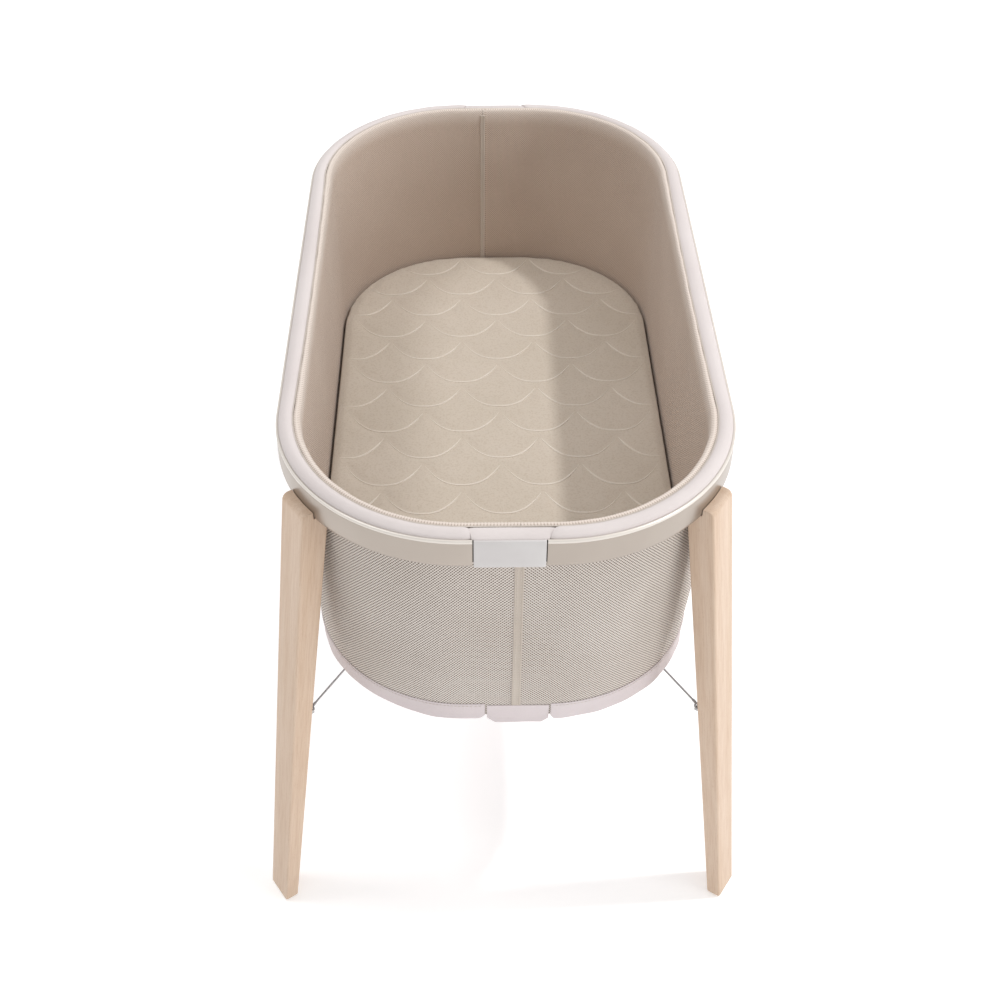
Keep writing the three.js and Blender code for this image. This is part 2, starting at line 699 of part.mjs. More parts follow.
function addLegs() {
  for (const corner of corners) {
    const leg = new THREE.Group();
    cornerMatrix(corner).decompose(leg.position, leg.quaternion, leg.scale);
    add(leg, `leg_${corner.name}`, legShape(), 'wood');
    add(leg, `leg_bracket_${corner.name}`, legBracket(), 'castMetal');
    add(leg, `leg_bolt_${corner.name}`, legBolt(), 'steel', boltMatrix);
    add(leg, `barrel_nut_${corner.name}`, barrelNut(), 'steel');
    const foot = new THREE.Matrix4().setPosition(LEG_FOOT_RADIUS, 0, 0);
    add(leg, `foot_glide_${corner.name}`, footGlide(), 'glide', foot);
    add(leg, `wire_keeper_${corner.name}`, wireKeeper(), 'steel', keeperMatrix);
    add(leg, `keeper_screw_${corner.name}`, keeperScrew(), 'steel', screwMatrix());
    bassinet.add(leg);
  }
}

function addBrace() {
  const [frontLeft, frontRight, rearLeft, rearRight] = corners;
  add(bassinet, 'brace_wire_upper', braceWire(frontLeft, rearRight, WIRE_BOW), 'steel');
  add(bassinet, 'brace_wire_lower', braceWire(frontRight, rearLeft, -WIRE_BOW), 'steel');
  const crossing = new THREE.Matrix4().setPosition(0, 0, pinPlace(frontLeft).z);
  add(bassinet, 'brace_cross_clip', crossClip(), 'clip', crossing);
}

function addBasket() {
  const frontSeam = -SEAM_FRONT_X;
  const rearSeam = HALFWAY + SEAM_REAR_X;
  const walls = [
    ['left_front', frontSeam, HALFWAY / 2],
    ['left_rear', HALFWAY / 2, rearSeam],
    ['right_rear', rearSeam, AROUND - HALFWAY / 2],
    ['right_front', AROUND - HALFWAY / 2, frontSeam + AROUND],
  ];
  for (const [side, from, to] of walls) {
    add(bassinet, `mesh_wall_${side}`, meshWall(from + GAP, to - GAP), 'mesh');
  }
  add(bassinet, 'seam_tape_front', seamTape(frontSeam), 'tape');
  add(bassinet, 'seam_tape_rear', seamTape(rearSeam), 'tape');
  const frontTab = frontSeam - TAB_SHIFT;
  const rearTab = rearSeam + TAB_SHIFT;
  const reach = TAB_HALF + TAB_NOTCH;
  const bands = [
    ['left', frontTab + reach, rearTab - reach],
    ['right', rearTab + reach, frontTab + AROUND - reach],
  ];
  for (const [side, from, to] of bands) {
    add(bassinet, `skirt_${side}`, skirtBand(SKIRT_BOTTOM, SKIRT_TOP, from, to, SKIRT_STEPS), 'skirt');
  }
  for (const [end, middle] of [['front', frontTab], ['rear', rearTab]]) {
    const tab = skirtBand(TAB_BOTTOM, TAB_TOP, middle - TAB_HALF, middle + TAB_HALF, 4);
    add(bassinet, `skirt_tab_${end}`, tab, 'skirt');
  }
  add(bassinet, 'floor_fabric', slab(BOARD_INSET - 1.5, WALL_BOTTOM, FLOOR_TOP), 'skirt');
  add(bassinet, 'base_board', slab(BOARD_INSET, FLOOR_TOP + GAP, BOARD_TOP), 'board');
}

function addTrim() {
  const ends = [['left', TRIM_END, HALFWAY - TRIM_END], ['right', HALFWAY + TRIM_END, AROUND - TRIM_END]];
  for (const [side, from, to] of ends) {
    add(bassinet, `rim_trim_${side}`, sweep(trimSection, from, to, TRIM_STEPS), 'trim');
  }
  const reach = TRIM_END - GAP;
  add(bassinet, 'trim_flap_front', sweep(flapSection, -reach, reach, 2), 'trim');
  add(bassinet, 'trim_flap_rear', sweep(flapSection, HALFWAY - reach, HALFWAY + reach, 2), 'trim');
}

addRim();
addLegs();
addBrace();
addBasket();
addTrim();
add(bassinet, 'mattress_core', mattressCore(), 'foam');
add(bassinet, 'mattress_cover', mattressCover(), 'quilt');

export default bassinet;
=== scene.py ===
"""Bassinet on stand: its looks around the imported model. Metres, +Z up, the rear end towards +Y."""
import math

import bmesh
import bpy
import numpy as np
from mathutils import Matrix, Vector
from mathutils.bvhtree import BVHTree
from mathutils.kdtree import KDTree


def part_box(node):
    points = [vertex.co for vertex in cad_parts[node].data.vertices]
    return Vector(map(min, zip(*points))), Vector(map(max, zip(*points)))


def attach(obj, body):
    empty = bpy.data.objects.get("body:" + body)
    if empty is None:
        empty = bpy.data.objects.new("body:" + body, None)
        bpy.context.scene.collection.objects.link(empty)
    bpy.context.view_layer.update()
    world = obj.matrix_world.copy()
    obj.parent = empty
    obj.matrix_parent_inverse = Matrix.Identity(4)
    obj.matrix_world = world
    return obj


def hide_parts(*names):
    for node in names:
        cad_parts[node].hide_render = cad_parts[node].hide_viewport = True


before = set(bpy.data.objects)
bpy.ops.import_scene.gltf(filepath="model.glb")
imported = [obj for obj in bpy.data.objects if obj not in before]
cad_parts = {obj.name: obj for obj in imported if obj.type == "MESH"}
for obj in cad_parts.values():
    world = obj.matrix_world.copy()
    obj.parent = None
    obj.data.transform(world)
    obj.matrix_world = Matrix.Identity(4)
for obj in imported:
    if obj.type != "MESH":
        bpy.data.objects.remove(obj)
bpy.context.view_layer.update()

MM = 0.001
FLOOR_HALF = 14.0
CORNERS = {"front_left": (-1, -1), "front_right": (1, -1), "rear_left": (-1, 1), "rear_right": (1, 1)}
WALLS = {"left": ("mesh_wall_left_front", "mesh_wall_left_rear"),
         "right": ("mesh_wall_right_front", "mesh_wall_right_rear")}
FRAME_BODY = "basket_frame"
MATTRESS_BODY = "mattress"

# ---------- dimensions, from the CAD nodes' boxes and the design's own values ----------

RIM_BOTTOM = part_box("rim_frame_left")[0].z
RIM_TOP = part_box("rim_frame_left")[1].z
RIM_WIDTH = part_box("rim_frame_right")[1].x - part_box("rim_frame_left")[0].x
RIM_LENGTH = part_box("rim_frame_left")[1].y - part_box("rim_frame_left")[0].y
RIM_CORNER = 208 * MM
RIM_DEPTH = 14 * MM
RIM_WALL = 2 * MM
CONNECTOR_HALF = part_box("connector_cover_front")[1].x
CONNECTOR_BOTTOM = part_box("connector_cover_front")[0].z
CONNECTOR_SLIT = 1.2 * MM
COVER_WALL = 2.6 * MM
RIVET_AT = 62 * MM
FLAP_INNER_HALF = 46 * MM
FLAP_OUTER_HALF = 38 * MM
FLAP_ASKEW = 2.4 * MM

WALL_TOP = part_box("mesh_wall_left_front")[1].z
WALL_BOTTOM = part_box("mesh_wall_left_front")[0].z
LIP_FROM = 660 * MM
SEAM_FRONT = -11 * MM
SEAM_REAR_PAST = -16 * MM
WALL_FACE = ((669, 15.3), (647, 20.8), (450, 25.8), (392, 30.6), (366, 34.4))
SKIRT_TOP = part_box("skirt_left")[1].z
SKIRT_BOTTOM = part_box("skirt_left")[0].z
TAB_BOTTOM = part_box("skirt_tab_front")[0].z
TAB_HALF = 36 * MM
TAB_NOTCH = 2.5 * MM
TAB_SHIFT = 3 * MM
SEAM_STITCH = 4.6 * MM
HEM_STITCH = 5 * MM
FLOOR_INSET = 38.4 * MM

MATTRESS_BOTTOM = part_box("mattress_cover")[0].z
MATTRESS_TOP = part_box("mattress_cover")[1].z
MATTRESS_INSET = 32 * MM
MATTRESS_TAPER = 6 * MM
VOXEL = 6 * MM
CLOTH_PRESSURE = 4.0
CLOTH_FRAMES = 20
SWELL_CAP = np.array((0.8, 0.8, 2.6)) * MM
SCALLOP_PITCH = 104 * MM
SCALLOP_ROW = 54.4 * MM
SCALLOP_RISE = 44 * MM
SCALLOP_POWER = 2.5
SCALLOP_FIRST_Y = 379 * MM
SCALLOP_X = 3 * MM

LEG_ANGLE = math.radians(34)
LEG_TOP_RADIUS = 204.5 * MM
LEG_FOOT_RADIUS = 293 * MM
LEG_DEPTHS = (33 * MM, 18.5 * MM)
LEG_BREADTHS = (46 * MM, 40 * MM)
LEG_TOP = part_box("leg_front_left")[1].z
LEG_TOP_ROUND = 6 * MM
LEG_EDGE = 3 * MM
FOOT_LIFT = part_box("leg_front_left")[0].z
BOLT_OFFSET = 202.4 * MM
WIRE_RADIUS = 1.25 * MM
WIRE_BOW = 1.7 * MM
EYE_RADIUS = 4.6 * MM


# ---------- camera, floor and light ----------

def placed(name, data):
    """A new object of the scene, round a mesh, a light or a camera."""
    thing = bpy.data.objects.new(name, data)
    bpy.context.scene.collection.objects.link(thing)
    return thing


def add_camera():
    """The photograph's view: above the front end, looking down into the basket."""
    pitch, yaw, roll = 0.71345, 0.00256, -0.00579
    forward = Vector((math.sin(yaw) * math.cos(pitch), math.cos(yaw) * math.cos(pitch), -math.sin(pitch)))
    level = Vector((math.cos(yaw), -math.sin(yaw), 0))
    upright = level.cross(forward)
    right = math.cos(roll) * level + math.sin(roll) * upright
    up = math.cos(roll) * upright - math.sin(roll) * level
    data = bpy.data.cameras.new("camera")
    data.sensor_width = 36
    data.lens = 52.36
    data.shift_x = 0.03
    data.shift_y = -0.04
    camera = placed("camera", data)
    camera.matrix_world = Matrix((right, up, -forward)).transposed().to_4x4()
    camera.location = (-0.04274, -1.51680, 1.70015)
    bpy.context.scene.camera = camera


def add_light(name, place, target, size, watts):
    data = bpy.data.lights.new(name, "AREA")
    data.shape = "DISK"
    data.size = size
    data.energy = watts
    light = placed(name, data)
    light.location = place
    light.rotation_euler = (Vector(target) - Vector(place)).to_track_quat("-Z", "Y").to_euler()


def add_studio():
    """A pale floor, a white surround and soft lights."""
    world = bpy.data.worlds.new("studio")
    world.use_nodes = True
    background = world.node_tree.nodes["Background"]
    background.inputs["Color"].default_value = (1.0, 0.995, 0.99, 1)
    background.inputs["Strength"].default_value = 0.62
    bpy.context.scene.world = world
    bpy.context.scene.view_settings.view_transform = "Standard"
    add_light("key", (2.8, 0.2, 4.9), (0, 0, 0.4), 0.34, 102)
    add_light("fill", (-2.3, 0.1, 4.9), (0, 0, 0.4), 1.3, 48)
    add_light("side", (4.2, -2.2, 1.5), (0, 0, 0.45), 2.2, 50)
    mesh = bpy.data.meshes.new("floor")
    corners = [(x * FLOOR_HALF, y * FLOOR_HALF, 0) for x, y in ((-1, -1), (1, -1), (1, 1), (-1, 1))]
    mesh.from_pydata(corners, [], [(0, 1, 2, 3)])
    floor = placed("floor", mesh)
    paint = Look("studio_floor", roughness=0.9, specular=0.1)
    tone = paint.noise(3.0, 2.0, paint.object_place())
    paint.colour(paint.ramp(tone, ((0.3, (246, 246, 246)), (0.7, (250, 250, 250)))))
    paint.shader.inputs["Emission Color"].default_value = (1, 1, 1, 1)
    paint.shader.inputs["Emission Strength"].default_value = 0.3
    mesh.materials.append(paint.material)


# ---------- materials ----------

def srgb(colour):
    """A colour of 0 to 255 as Blender's linear one."""
    linear = [((c / 255 + 0.055) / 1.055) ** 2.4 if c > 10 else c / 255 / 12.92 for c in colour]
    return (*linear, 1)


class Look:
    """A node material round one Principled shader. Inputs are numbers or other nodes' outputs."""

    def __init__(self, name, roughness=0.6, **settings):
        self.material = bpy.data.materials.new(name)
        self.material.use_nodes = True
        self.tree = self.material.node_tree
        self.shader = self.tree.nodes["Principled BSDF"]
        names = {"metallic": "Metallic", "specular": "Specular IOR Level", "sheen": "Sheen Weight",
                 "sheen_roughness": "Sheen Roughness", "coat": "Coat Weight",
                 "coat_roughness": "Coat Roughness", "anisotropic": "Anisotropic",
                 "subsurface": "Subsurface Weight"}
        self.shader.inputs["Roughness"].default_value = roughness
        for key, value in settings.items():
            self.shader.inputs[names[key]].default_value = value

    def add(self, kind, **inputs):
        node = self.tree.nodes.new("ShaderNode" + kind)
        for key, value in inputs.items():
            self.put(node.inputs[key], value)
        return node

    def put(self, socket, value):
        if isinstance(value, bpy.types.NodeSocket):
            self.tree.links.new(value, socket)
        else:
            socket.default_value = value

    def object_place(self):
        return self.add("TexCoord").outputs["Object"]

    def object_height(self):
        return self.add("SeparateXYZ", Vector=self.object_place()).outputs["Z"]

    def attribute(self, name):
        node = self.add("Attribute")
        node.attribute_name = name
        return node.outputs["Vector"]

    def stretched(self, vector, scale, turn=(0, 0, 0)):
        return self.add("Mapping", Vector=vector, Scale=scale, Rotation=turn).outputs["Vector"]

    def noise(self, scale, detail, vector, roughness=0.5):
        node = self.add("TexNoise", Vector=vector, Scale=scale, Detail=detail, Roughness=roughness)
        return node.outputs["Fac"]

    def calculate(self, operation, first, second):
        node = self.add("Math")
        node.operation = operation
        self.put(node.inputs[0], first)
        self.put(node.inputs[1], second)
        return node.outputs[0]

    def times(self, first, second):
        return self.calculate("MULTIPLY", first, second)

    def plus(self, first, second):
        return self.calculate("ADD", first, second)

    def minus(self, first, second):
        return self.calculate("SUBTRACT", first, second)

    def waves(self, vector, direction, period):
        """A cosine of the distance along a direction, from -1 to 1."""
        node = self.add("VectorMath")
        node.operation = "DOT_PRODUCT"
        self.put(node.inputs[0], vector)
        self.put(node.inputs[1], tuple(2 * math.pi * d / period for d in direction))
        return self.calculate("COSINE", node.outputs["Value"], 0)

    def steps(self, value, low, high):
        """0 below low and 1 above high, smoothly."""
        node = self.add("MapRange", **{"Value": value, "From Min": low, "From Max": high})
        node.interpolation_type = "SMOOTHSTEP"
        return node.outputs["Result"]

    def ramp(self, value, stops):
        node = self.add("ValToRGB", Fac=value)
        ends = node.color_ramp.elements
        for element, (position, colour) in zip(ends, (stops[0], stops[-1])):
            element.position = position
            element.color = srgb(colour)
        for position, colour in stops[1:-1]:
            ends.new(position).color = srgb(colour)
        return node.outputs["Color"]

    def mixed(self, factor, first, second, blend="MIX"):
        node = self.add("Mix")
        node.data_type = "RGBA"
        node.blend_type = blend
        self.put(node.inputs[0], factor)
        for socket, value in ((node.inputs[6], first), (node.inputs[7], second)):
            self.put(socket, value if isinstance(value, bpy.types.NodeSocket) else srgb(value))
        return node.outputs[2]

    def colour(self, value):
        self.put(self.shader.inputs["Base Color"], value)

    def roughness(self, value, low, high):
        node = self.add("MapRange", **{"Value": value, "To Min": low, "To Max": high})
        self.put(self.shader.inputs["Roughness"], node.outputs["Result"])

    def bump(self, height, distance, strength=1.0):
        """Bumps of that height in metres. A second call lies on the first."""
        node = self.add("Bump", Height=height, Distance=distance, Strength=strength)
        below = self.shader.inputs["Normal"].links
        if below:
            self.put(node.inputs["Normal"], below[0].from_socket)
        self.put(self.shader.inputs["Normal"], node.outputs["Normal"])


def champagne_look():
    """Satin anodised aluminium, brushed along the rim. Along the bead at its upper edge it is painted paler
    and made less metallic: a painted highlight.
    """
    look = Look("champagne_aluminium", 0.3, metallic=0.92, anisotropic=0.3)
    place = look.attribute("cloth")
    brushed = look.noise(1.0, 4.0, look.stretched(place, (30, 5200, 5200)))
    clouds = look.noise(14.0, 2.0, look.object_place())
    base = look.ramp(clouds, ((0.25, (166, 156, 147)), (0.75, (176, 166, 157))))
    base = look.mixed(look.times(look.steps(brushed, 0.35, 0.75), 0.5), base, (188, 179, 170))
    # Painted highlight: the top few millimetres of the rim are mixed paler and less metallic, so the bead
    # shows as a bright line.
    edge = look.steps(look.object_height(), RIM_TOP - 3.2 * MM, RIM_TOP - 2.6 * MM)
    look.colour(look.mixed(edge, base, (226, 219, 211)))
    look.put(look.shader.inputs["Metallic"], look.minus(0.92, look.times(edge, 0.7)))
    look.roughness(brushed, 0.24, 0.38)
    look.bump(brushed, 0.02 * MM)
    return look.material


def moulded_look(name, dark, light, roughness=0.48, grain=0.05):
    """Fine-textured moulded plastic."""
    look = Look(name, roughness, specular=0.45)
    place = look.object_place()
    clouds = look.noise(22.0, 3.0, place)
    texture = look.noise(1800.0, 2.0, place)
    look.colour(look.ramp(clouds, ((0.3, dark), (0.7, light))))
    look.roughness(texture, roughness - 0.06, roughness + 0.08)
    look.bump(texture, grain * MM)
    return look.material


def metal_look(name, dark, light, roughness, stretch=(900, 900, 60), grain=0.02):
    """Plated or cast metal with fine drawing marks or grain."""
    look = Look(name, roughness, metallic=1.0)
    place = look.object_place()
    marks = look.noise(1.0, 3.0, look.stretched(place, stretch))
    look.colour(look.ramp(marks, ((0.3, dark), (0.7, light))))
    look.roughness(marks, roughness - 0.08, roughness + 0.1)
    look.bump(marks, grain * MM)
    return look.material


def beech_look(seed):
    """Pale beech: soft long grain, short dark flecks along it and a matt lacquer."""
    look = Look(f"beech_{seed}", 0.5, specular=0.4, coat=0.08, coat_roughness=0.45)
    place = look.add("VectorMath")
    look.put(place.inputs[0], look.attribute("grain"))
    look.put(place.inputs[1], (0.31 * seed, 0.17 * seed, 0.77 * seed))
    place = place.outputs["Vector"]
    bands = look.noise(1.0, 3.0, look.stretched(place, (75, 75, 3.2)), 0.55)
    fibres = look.noise(1.0, 5.0, look.stretched(place, (700, 700, 22)), 0.6)
    flecks = look.noise(1.0, 1.0, look.stretched(place, (1500, 1500, 210)))
    base = look.ramp(bands, ((0.3, (207, 181, 157)), (0.5, (212, 188, 166)), (0.72, (218, 196, 176))))
    fibrous = look.times(look.steps(fibres, 0.42, 0.66), 0.22)
    base = look.mixed(fibrous, base, (206, 176, 150), "MULTIPLY")
    look.colour(look.mixed(look.times(look.steps(flecks, 0.63, 0.71), 0.3), base, (186, 148, 118)))
    look.roughness(fibres, 0.42, 0.6)
    look.bump(flecks, -0.03 * MM)
    look.bump(fibres, 0.03 * MM)
    return look.material


def knit_mesh_look(name, thread, shade, hole, period, depth, openness, lip=None):
    """Spacer mesh: a diamond lattice of small holes that leans one way, with knitted threads between.
    Towards the top of the wall and over the rim's lip it is painted paler, a painted highlight where the lip
    faces the light, and its holes are fainter there."""
    look = Look(name, 0.88, sheen=0.25, sheen_roughness=0.4, specular=0.2)
    place = look.attribute("cloth")
    wobble = look.noise(220.0, 1.0, place)
    leaning = look.times(look.waves(place, (1, 1, 0), period), 0.62)
    crossing = look.times(look.waves(place, (1, -1, 0), period), 0.44)
    lattice = look.plus(look.plus(leaning, crossing), look.times(wobble, 0.3))
    holes = look.steps(lattice, openness, openness + 0.55)
    clouds = look.noise(9.0, 3.0, look.object_place())
    threads = look.noise(1.0, 2.0, look.stretched(place, (3000, 1400, 1)))
    base = look.ramp(clouds, ((0.3, shade), (0.7, thread)))
    base = look.mixed(look.times(threads, 0.18), base, hole)
    if lip is not None:
        # Painted highlight: from LIP_FROM up over the lip the colour is mixed paler and the holes fade.
        stretch = look.steps(look.object_height(), LIP_FROM, RIM_TOP + 5 * MM)
        base = look.mixed(look.times(stretch, 0.8), base, lip)
        holes = look.times(holes, look.minus(1.0, look.times(stretch, 0.45)))
    look.colour(look.mixed(holes, base, hole))
    look.bump(look.minus(1.0, holes), depth * MM)
    look.bump(threads, 0.06 * MM)
    return look.material


def plain_cloth_look(name, dark, light, thread=0.55, relief=0.05, sheen=0.3):
    """Plain-woven or fine-knitted cloth: warp and weft at the thread's real spacing."""
    look = Look(name, 0.82, sheen=sheen, sheen_roughness=0.35, specular=0.25)
    place = look.attribute("cloth")
    warp = look.waves(place, (1, 0, 0), thread * MM)
    weft = look.waves(place, (0, 1, 0), thread * MM)
    weave = look.times(warp, weft)
    slub = look.noise(1.0, 3.0, look.stretched(place, (160, 900, 1)))
    clouds = look.noise(7.0, 3.0, look.object_place())
    base = look.ramp(clouds, ((0.3, dark), (0.7, light)))
    look.colour(look.mixed(look.times(look.steps(slub, 0.4, 0.7), 0.3), base, light))
    look.bump(weave, relief * MM)
    look.bump(slub, 0.05 * MM)
    return look.material


def quilt_look(name, dark, light):
    """Soft quilted knit: rows of small loops, a slight melange and a downy sheen."""
    look = Look(name, 0.92, sheen=0.35, sheen_roughness=0.5, specular=0.15)
    place = look.attribute("cloth")
    ribs = look.waves(place, (1, 0, 1), 2.1 * MM)
    rows = look.waves(place, (0, 1, 1), 1.7 * MM)
    loops = look.times(ribs, rows)
    melange = look.noise(420.0, 3.0, place)
    clouds = look.noise(6.0, 2.0, place)
    base = look.ramp(clouds, ((0.3, dark), (0.7, light)))
    flecked = look.mixed(look.times(look.steps(melange, 0.45, 0.7), 0.3), base, dark, "MULTIPLY")
    look.colour(look.mixed(look.times(look.steps(loops, 0.1, 0.8), 0.16), flecked, dark))
    look.bump(loops, 0.16 * MM)
    look.bump(melange, 0.12 * MM)
    return look.material


def plywood_look():
    """Thin birch plywood for the base board."""
    look = Look("plywood", 0.6, specular=0.3)
    place = look.object_place()
    grain = look.noise(1.0, 4.0, look.stretched(place, (160, 7, 160)))
    flecks = look.noise(1.0, 1.0, look.stretched(place, (900, 120, 900)))
    look.colour(look.mixed(look.steps(flecks, 0.6, 0.75), look.ramp(
        grain, ((0.3, (196, 170, 130)), (0.7, (214, 190, 152)))), (168, 138, 98)))
    look.roughness(grain, 0.52, 0.68)
    look.bump(grain, 0.04 * MM)
    return look.material


# ---------- the rim's outline ----------

END_HALF = RIM_WIDTH / 2 - RIM_CORNER  # half the straight stretch at an end
SIDE_HALF = RIM_LENGTH / 2 - RIM_CORNER  # half the straight stretch of a side
BEND = RIM_CORNER * math.pi / 2
HALFWAY = 2 * (END_HALF + BEND + SIDE_HALF)
AROUND = 2 * HALFWAY
SEAM_REAR = HALFWAY + SEAM_REAR_PAST

STRETCHES = (END_HALF, BEND, 2 * SIDE_HALF, BEND, 2 * END_HALF, BEND, 2 * SIDE_HALF, BEND, END_HALF)
OUTLINE_AT = np.concatenate([[0], np.cumsum(STRETCHES)])
OUTLINE_TURN = -np.radians((90, 90, 180, 180, 270, 270, 360, 360, 450, 450))
OUTLINE_X = END_HALF * np.array((0, -1, -1, -1, -1, 1, 1, 1, 1, 0))
OUTLINE_Y = SIDE_HALF * np.array((-1, -1, -1, 1, 1, 1, 1, -1, -1, -1))


def outline(distance, out=0.0):
    """Points on the rim's outer outline, or out from it, and the outward directions. Distances run
    clockwise as seen from above from the middle of the front: front, left, rear, right."""
    along = np.mod(distance, AROUND)
    turn = np.interp(along, OUTLINE_AT, OUTLINE_TURN)
    away = np.stack([np.cos(turn), np.sin(turn)], axis=-1)
    core = np.stack([np.interp(along, OUTLINE_AT, line) for line in (OUTLINE_X, OUTLINE_Y)], axis=-1)
    return core + away * (RIM_CORNER + np.asarray(out)[..., None]), away


def inset_of(places):
    """How far inside the rim's outline each point is."""
    core = np.clip(places[:, :2], (-END_HALF, -SIDE_HALF), (END_HALF, SIDE_HALF))
    return RIM_CORNER - np.linalg.norm(places[:, :2] - core, axis=1)


def stops(start, end, spacing):
    """Evenly spaced distances from start to end."""
    return np.linspace(start, end, max(2, math.ceil((end - start) / spacing) + 1))


# ---------- mesh helpers ----------

def rounded(corners, steps=4):
    """A closed section from corners (out, z, radius), in millimetres, with each corner rounded off."""
    points = []
    for i, (x, z, radius) in enumerate(corners):
        here = np.array((x, z), float)
        before = np.array(corners[i - 1][:2]) - here
        after = np.array(corners[(i + 1) % len(corners)][:2]) - here
        start = here + before / np.linalg.norm(before) * radius
        end = here + after / np.linalg.norm(after) * radius
        for t in np.linspace(0, 1, steps + 1 if radius else 1):
            points.append((1 - t) ** 2 * start + 2 * t * (1 - t) * here + t * t * end)
    return np.array(points) * MM


def smooth(points, steps=5, closed=True):
    """A smooth curve through the points."""
    p = np.array(points, float)
    count = len(p)
    spans = range(count if closed else count - 1)
    curve = []
    for i in spans:
        a, b, c, d = (p[j % count] if closed else p[min(max(j, 0), count - 1)] for j in range(i - 1, i + 3))
        for t in np.arange(steps) / steps:
            curve.append(0.5 * (2 * b + (c - a) * t + (2 * a - 5 * b + 4 * c - d) * t ** 2
                                + (3 * b - a - 3 * c + d) * t ** 3))
    if not closed:
        curve.append(p[-1])
    return np.array(curve)


def outward_mesh(name, places, faces):
    """A mesh with its faces turned outward."""
    mesh = bpy.data.meshes.new(name)
    mesh.from_pydata([tuple(place) for place in places], [], faces)
    work = bmesh.new()
    work.from_mesh(mesh)
    bmesh.ops.recalc_face_normals(work, faces=work.faces)
    work.to_mesh(mesh)
    work.free()
    return mesh


def new_object(name, places, faces, material, cloth=None, sharp=40):
    """A smooth-shaded piece from points and faces."""
    mesh = outward_mesh(name, places, faces)
    if cloth is not None:
        store(mesh, "cloth", cloth)
    mesh.shade_smooth()
    mesh.set_sharp_from_angle(angle=math.radians(sharp))
    mesh.materials.append(material)
    return placed(name, mesh)


def label(piece, slot, *nodes, body=None):
    """Hides the CAD nodes a piece stands for and, when a body is given for a piece that has none yet,
    attaches the piece to it. The slot is not used.
    """
    if body:
        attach(piece, body)
    if nodes:
        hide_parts(*nodes)
    return piece


def move_points(piece, places):
    piece.data.vertices.foreach_set("co", np.ravel(places))


def store(mesh, name, vectors):
    """Keeps a vector at each point of a mesh, for its material to read."""
    values = np.zeros((len(mesh.vertices), 3), np.float32)
    values[:, :np.shape(vectors)[1]] = vectors
    layer = mesh.attributes.get(name) or mesh.attributes.new(name, "FLOAT_VECTOR", "POINT")
    layer.data.foreach_set("vector", values.ravel())


def points_of(piece):
    places = np.zeros(len(piece.data.vertices) * 3)
    piece.data.vertices.foreach_get("co", places)
    return places.reshape(-1, 3)


def grid_faces(rows, columns, first=0, wrap=False, wrap_rows=False):
    """Quads between the rows and columns of a grid of points."""
    faces = []
    for i in range(rows if wrap_rows else rows - 1):
        for j in range(columns if wrap else columns - 1):
            a, b = first + i * columns, first + (i + 1) % rows * columns
            k = (j + 1) % columns
            faces.append((a + j, a + k, b + k, b + j))
    return faces


def tube_faces(rows, columns, first=0):
    """The faces of a closed tube: its wall and a flat end at each side."""
    last = first + (rows - 1) * columns
    ends = [tuple(range(first, first + columns)), tuple(range(last, last + columns))]
    return grid_faces(rows, columns, first, wrap=True) + ends


def swept(distances, section):
    """Places of a section carried round the outline, and their cloth coordinates. The section holds
    (out, z) points and may differ at each distance."""
    section = np.broadcast_to(section, (len(distances),) + np.shape(section)[-2:])
    flat, _ = outline(np.repeat(distances[:, None], section.shape[1], 1), section[..., 0])
    places = np.concatenate([flat, section[..., 1:]], axis=-1)
    edges = np.linalg.norm(np.diff(section[0], axis=0), axis=1)
    across = np.concatenate([[0], np.cumsum(edges)])
    cloth = np.stack(np.broadcast_arrays(distances[:, None], across[None, :]), axis=-1)
    return places.reshape(-1, 3), cloth.reshape(-1, 2)


def sweep(name, distances, section, material, body=FRAME_BODY, sharp=40):
    """A closed piece: a closed section carried round part of the outline."""
    places, cloth = swept(distances, section)
    faces = tube_faces(len(distances), np.shape(section)[-2])
    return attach(new_object(name, places, faces, material, cloth, sharp), body)


def joined(name, parts, material, sharp=40):
    """One piece from several (points, faces, cloth) lists."""
    places, faces, cloth, first = [], [], [], 0
    for part_places, part_faces, part_cloth in parts:
        places.append(part_places)
        cloth.append(part_cloth)
        faces += [tuple(first + i for i in face) for face in part_faces]
        first += len(part_places)
    return new_object(name, np.concatenate(places), faces, material, np.concatenate(cloth), sharp)


def tube(path, radii, sides=10, squash=1.0, up=None):
    """(points, faces, cloth) of a round or flattened tube along a path."""
    path = np.array(path)
    radii = np.broadcast_to(radii, len(path))
    forward = np.gradient(path, axis=0)
    forward /= np.linalg.norm(forward, axis=1)[:, None]
    up = np.broadcast_to((0, 0, 1) if up is None else up, path.shape)
    side = np.cross(forward, up)
    side /= np.linalg.norm(side, axis=1)[:, None]
    top = np.cross(side, forward)
    angles = np.linspace(0, 2 * math.pi, sides, endpoint=False)
    cosines, sines = np.cos(angles)[None, :, None], np.sin(angles)[None, :, None]
    points = path[:, None] + (cosines * side[:, None] + squash * sines * top[:, None]) * radii[:, None, None]
    along = np.concatenate([[0], np.cumsum(np.linalg.norm(np.diff(path, axis=0), axis=1))])
    cloth = np.stack(np.broadcast_arrays(along[:, None], (angles * radii.max())[None, :]), axis=-1)
    return points.reshape(-1, 3), tube_faces(len(path), sides), cloth.reshape(-1, 2)


def carve(piece, cutters):
    """Cuts shapes out of a piece, and removes them."""
    for cutter in cutters:
        change = piece.modifiers.new("cut", "BOOLEAN")
        change.operation = "DIFFERENCE"
        change.solver = "EXACT"
        change.object = cutter
    apply_modifiers(piece)
    for cutter in cutters:
        bpy.data.objects.remove(cutter)


def apply_modifiers(piece):
    evaluated = piece.evaluated_get(bpy.context.evaluated_depsgraph_get())
    finished = bpy.data.meshes.new_from_object(evaluated)
    piece.modifiers.clear()
    piece.data = finished


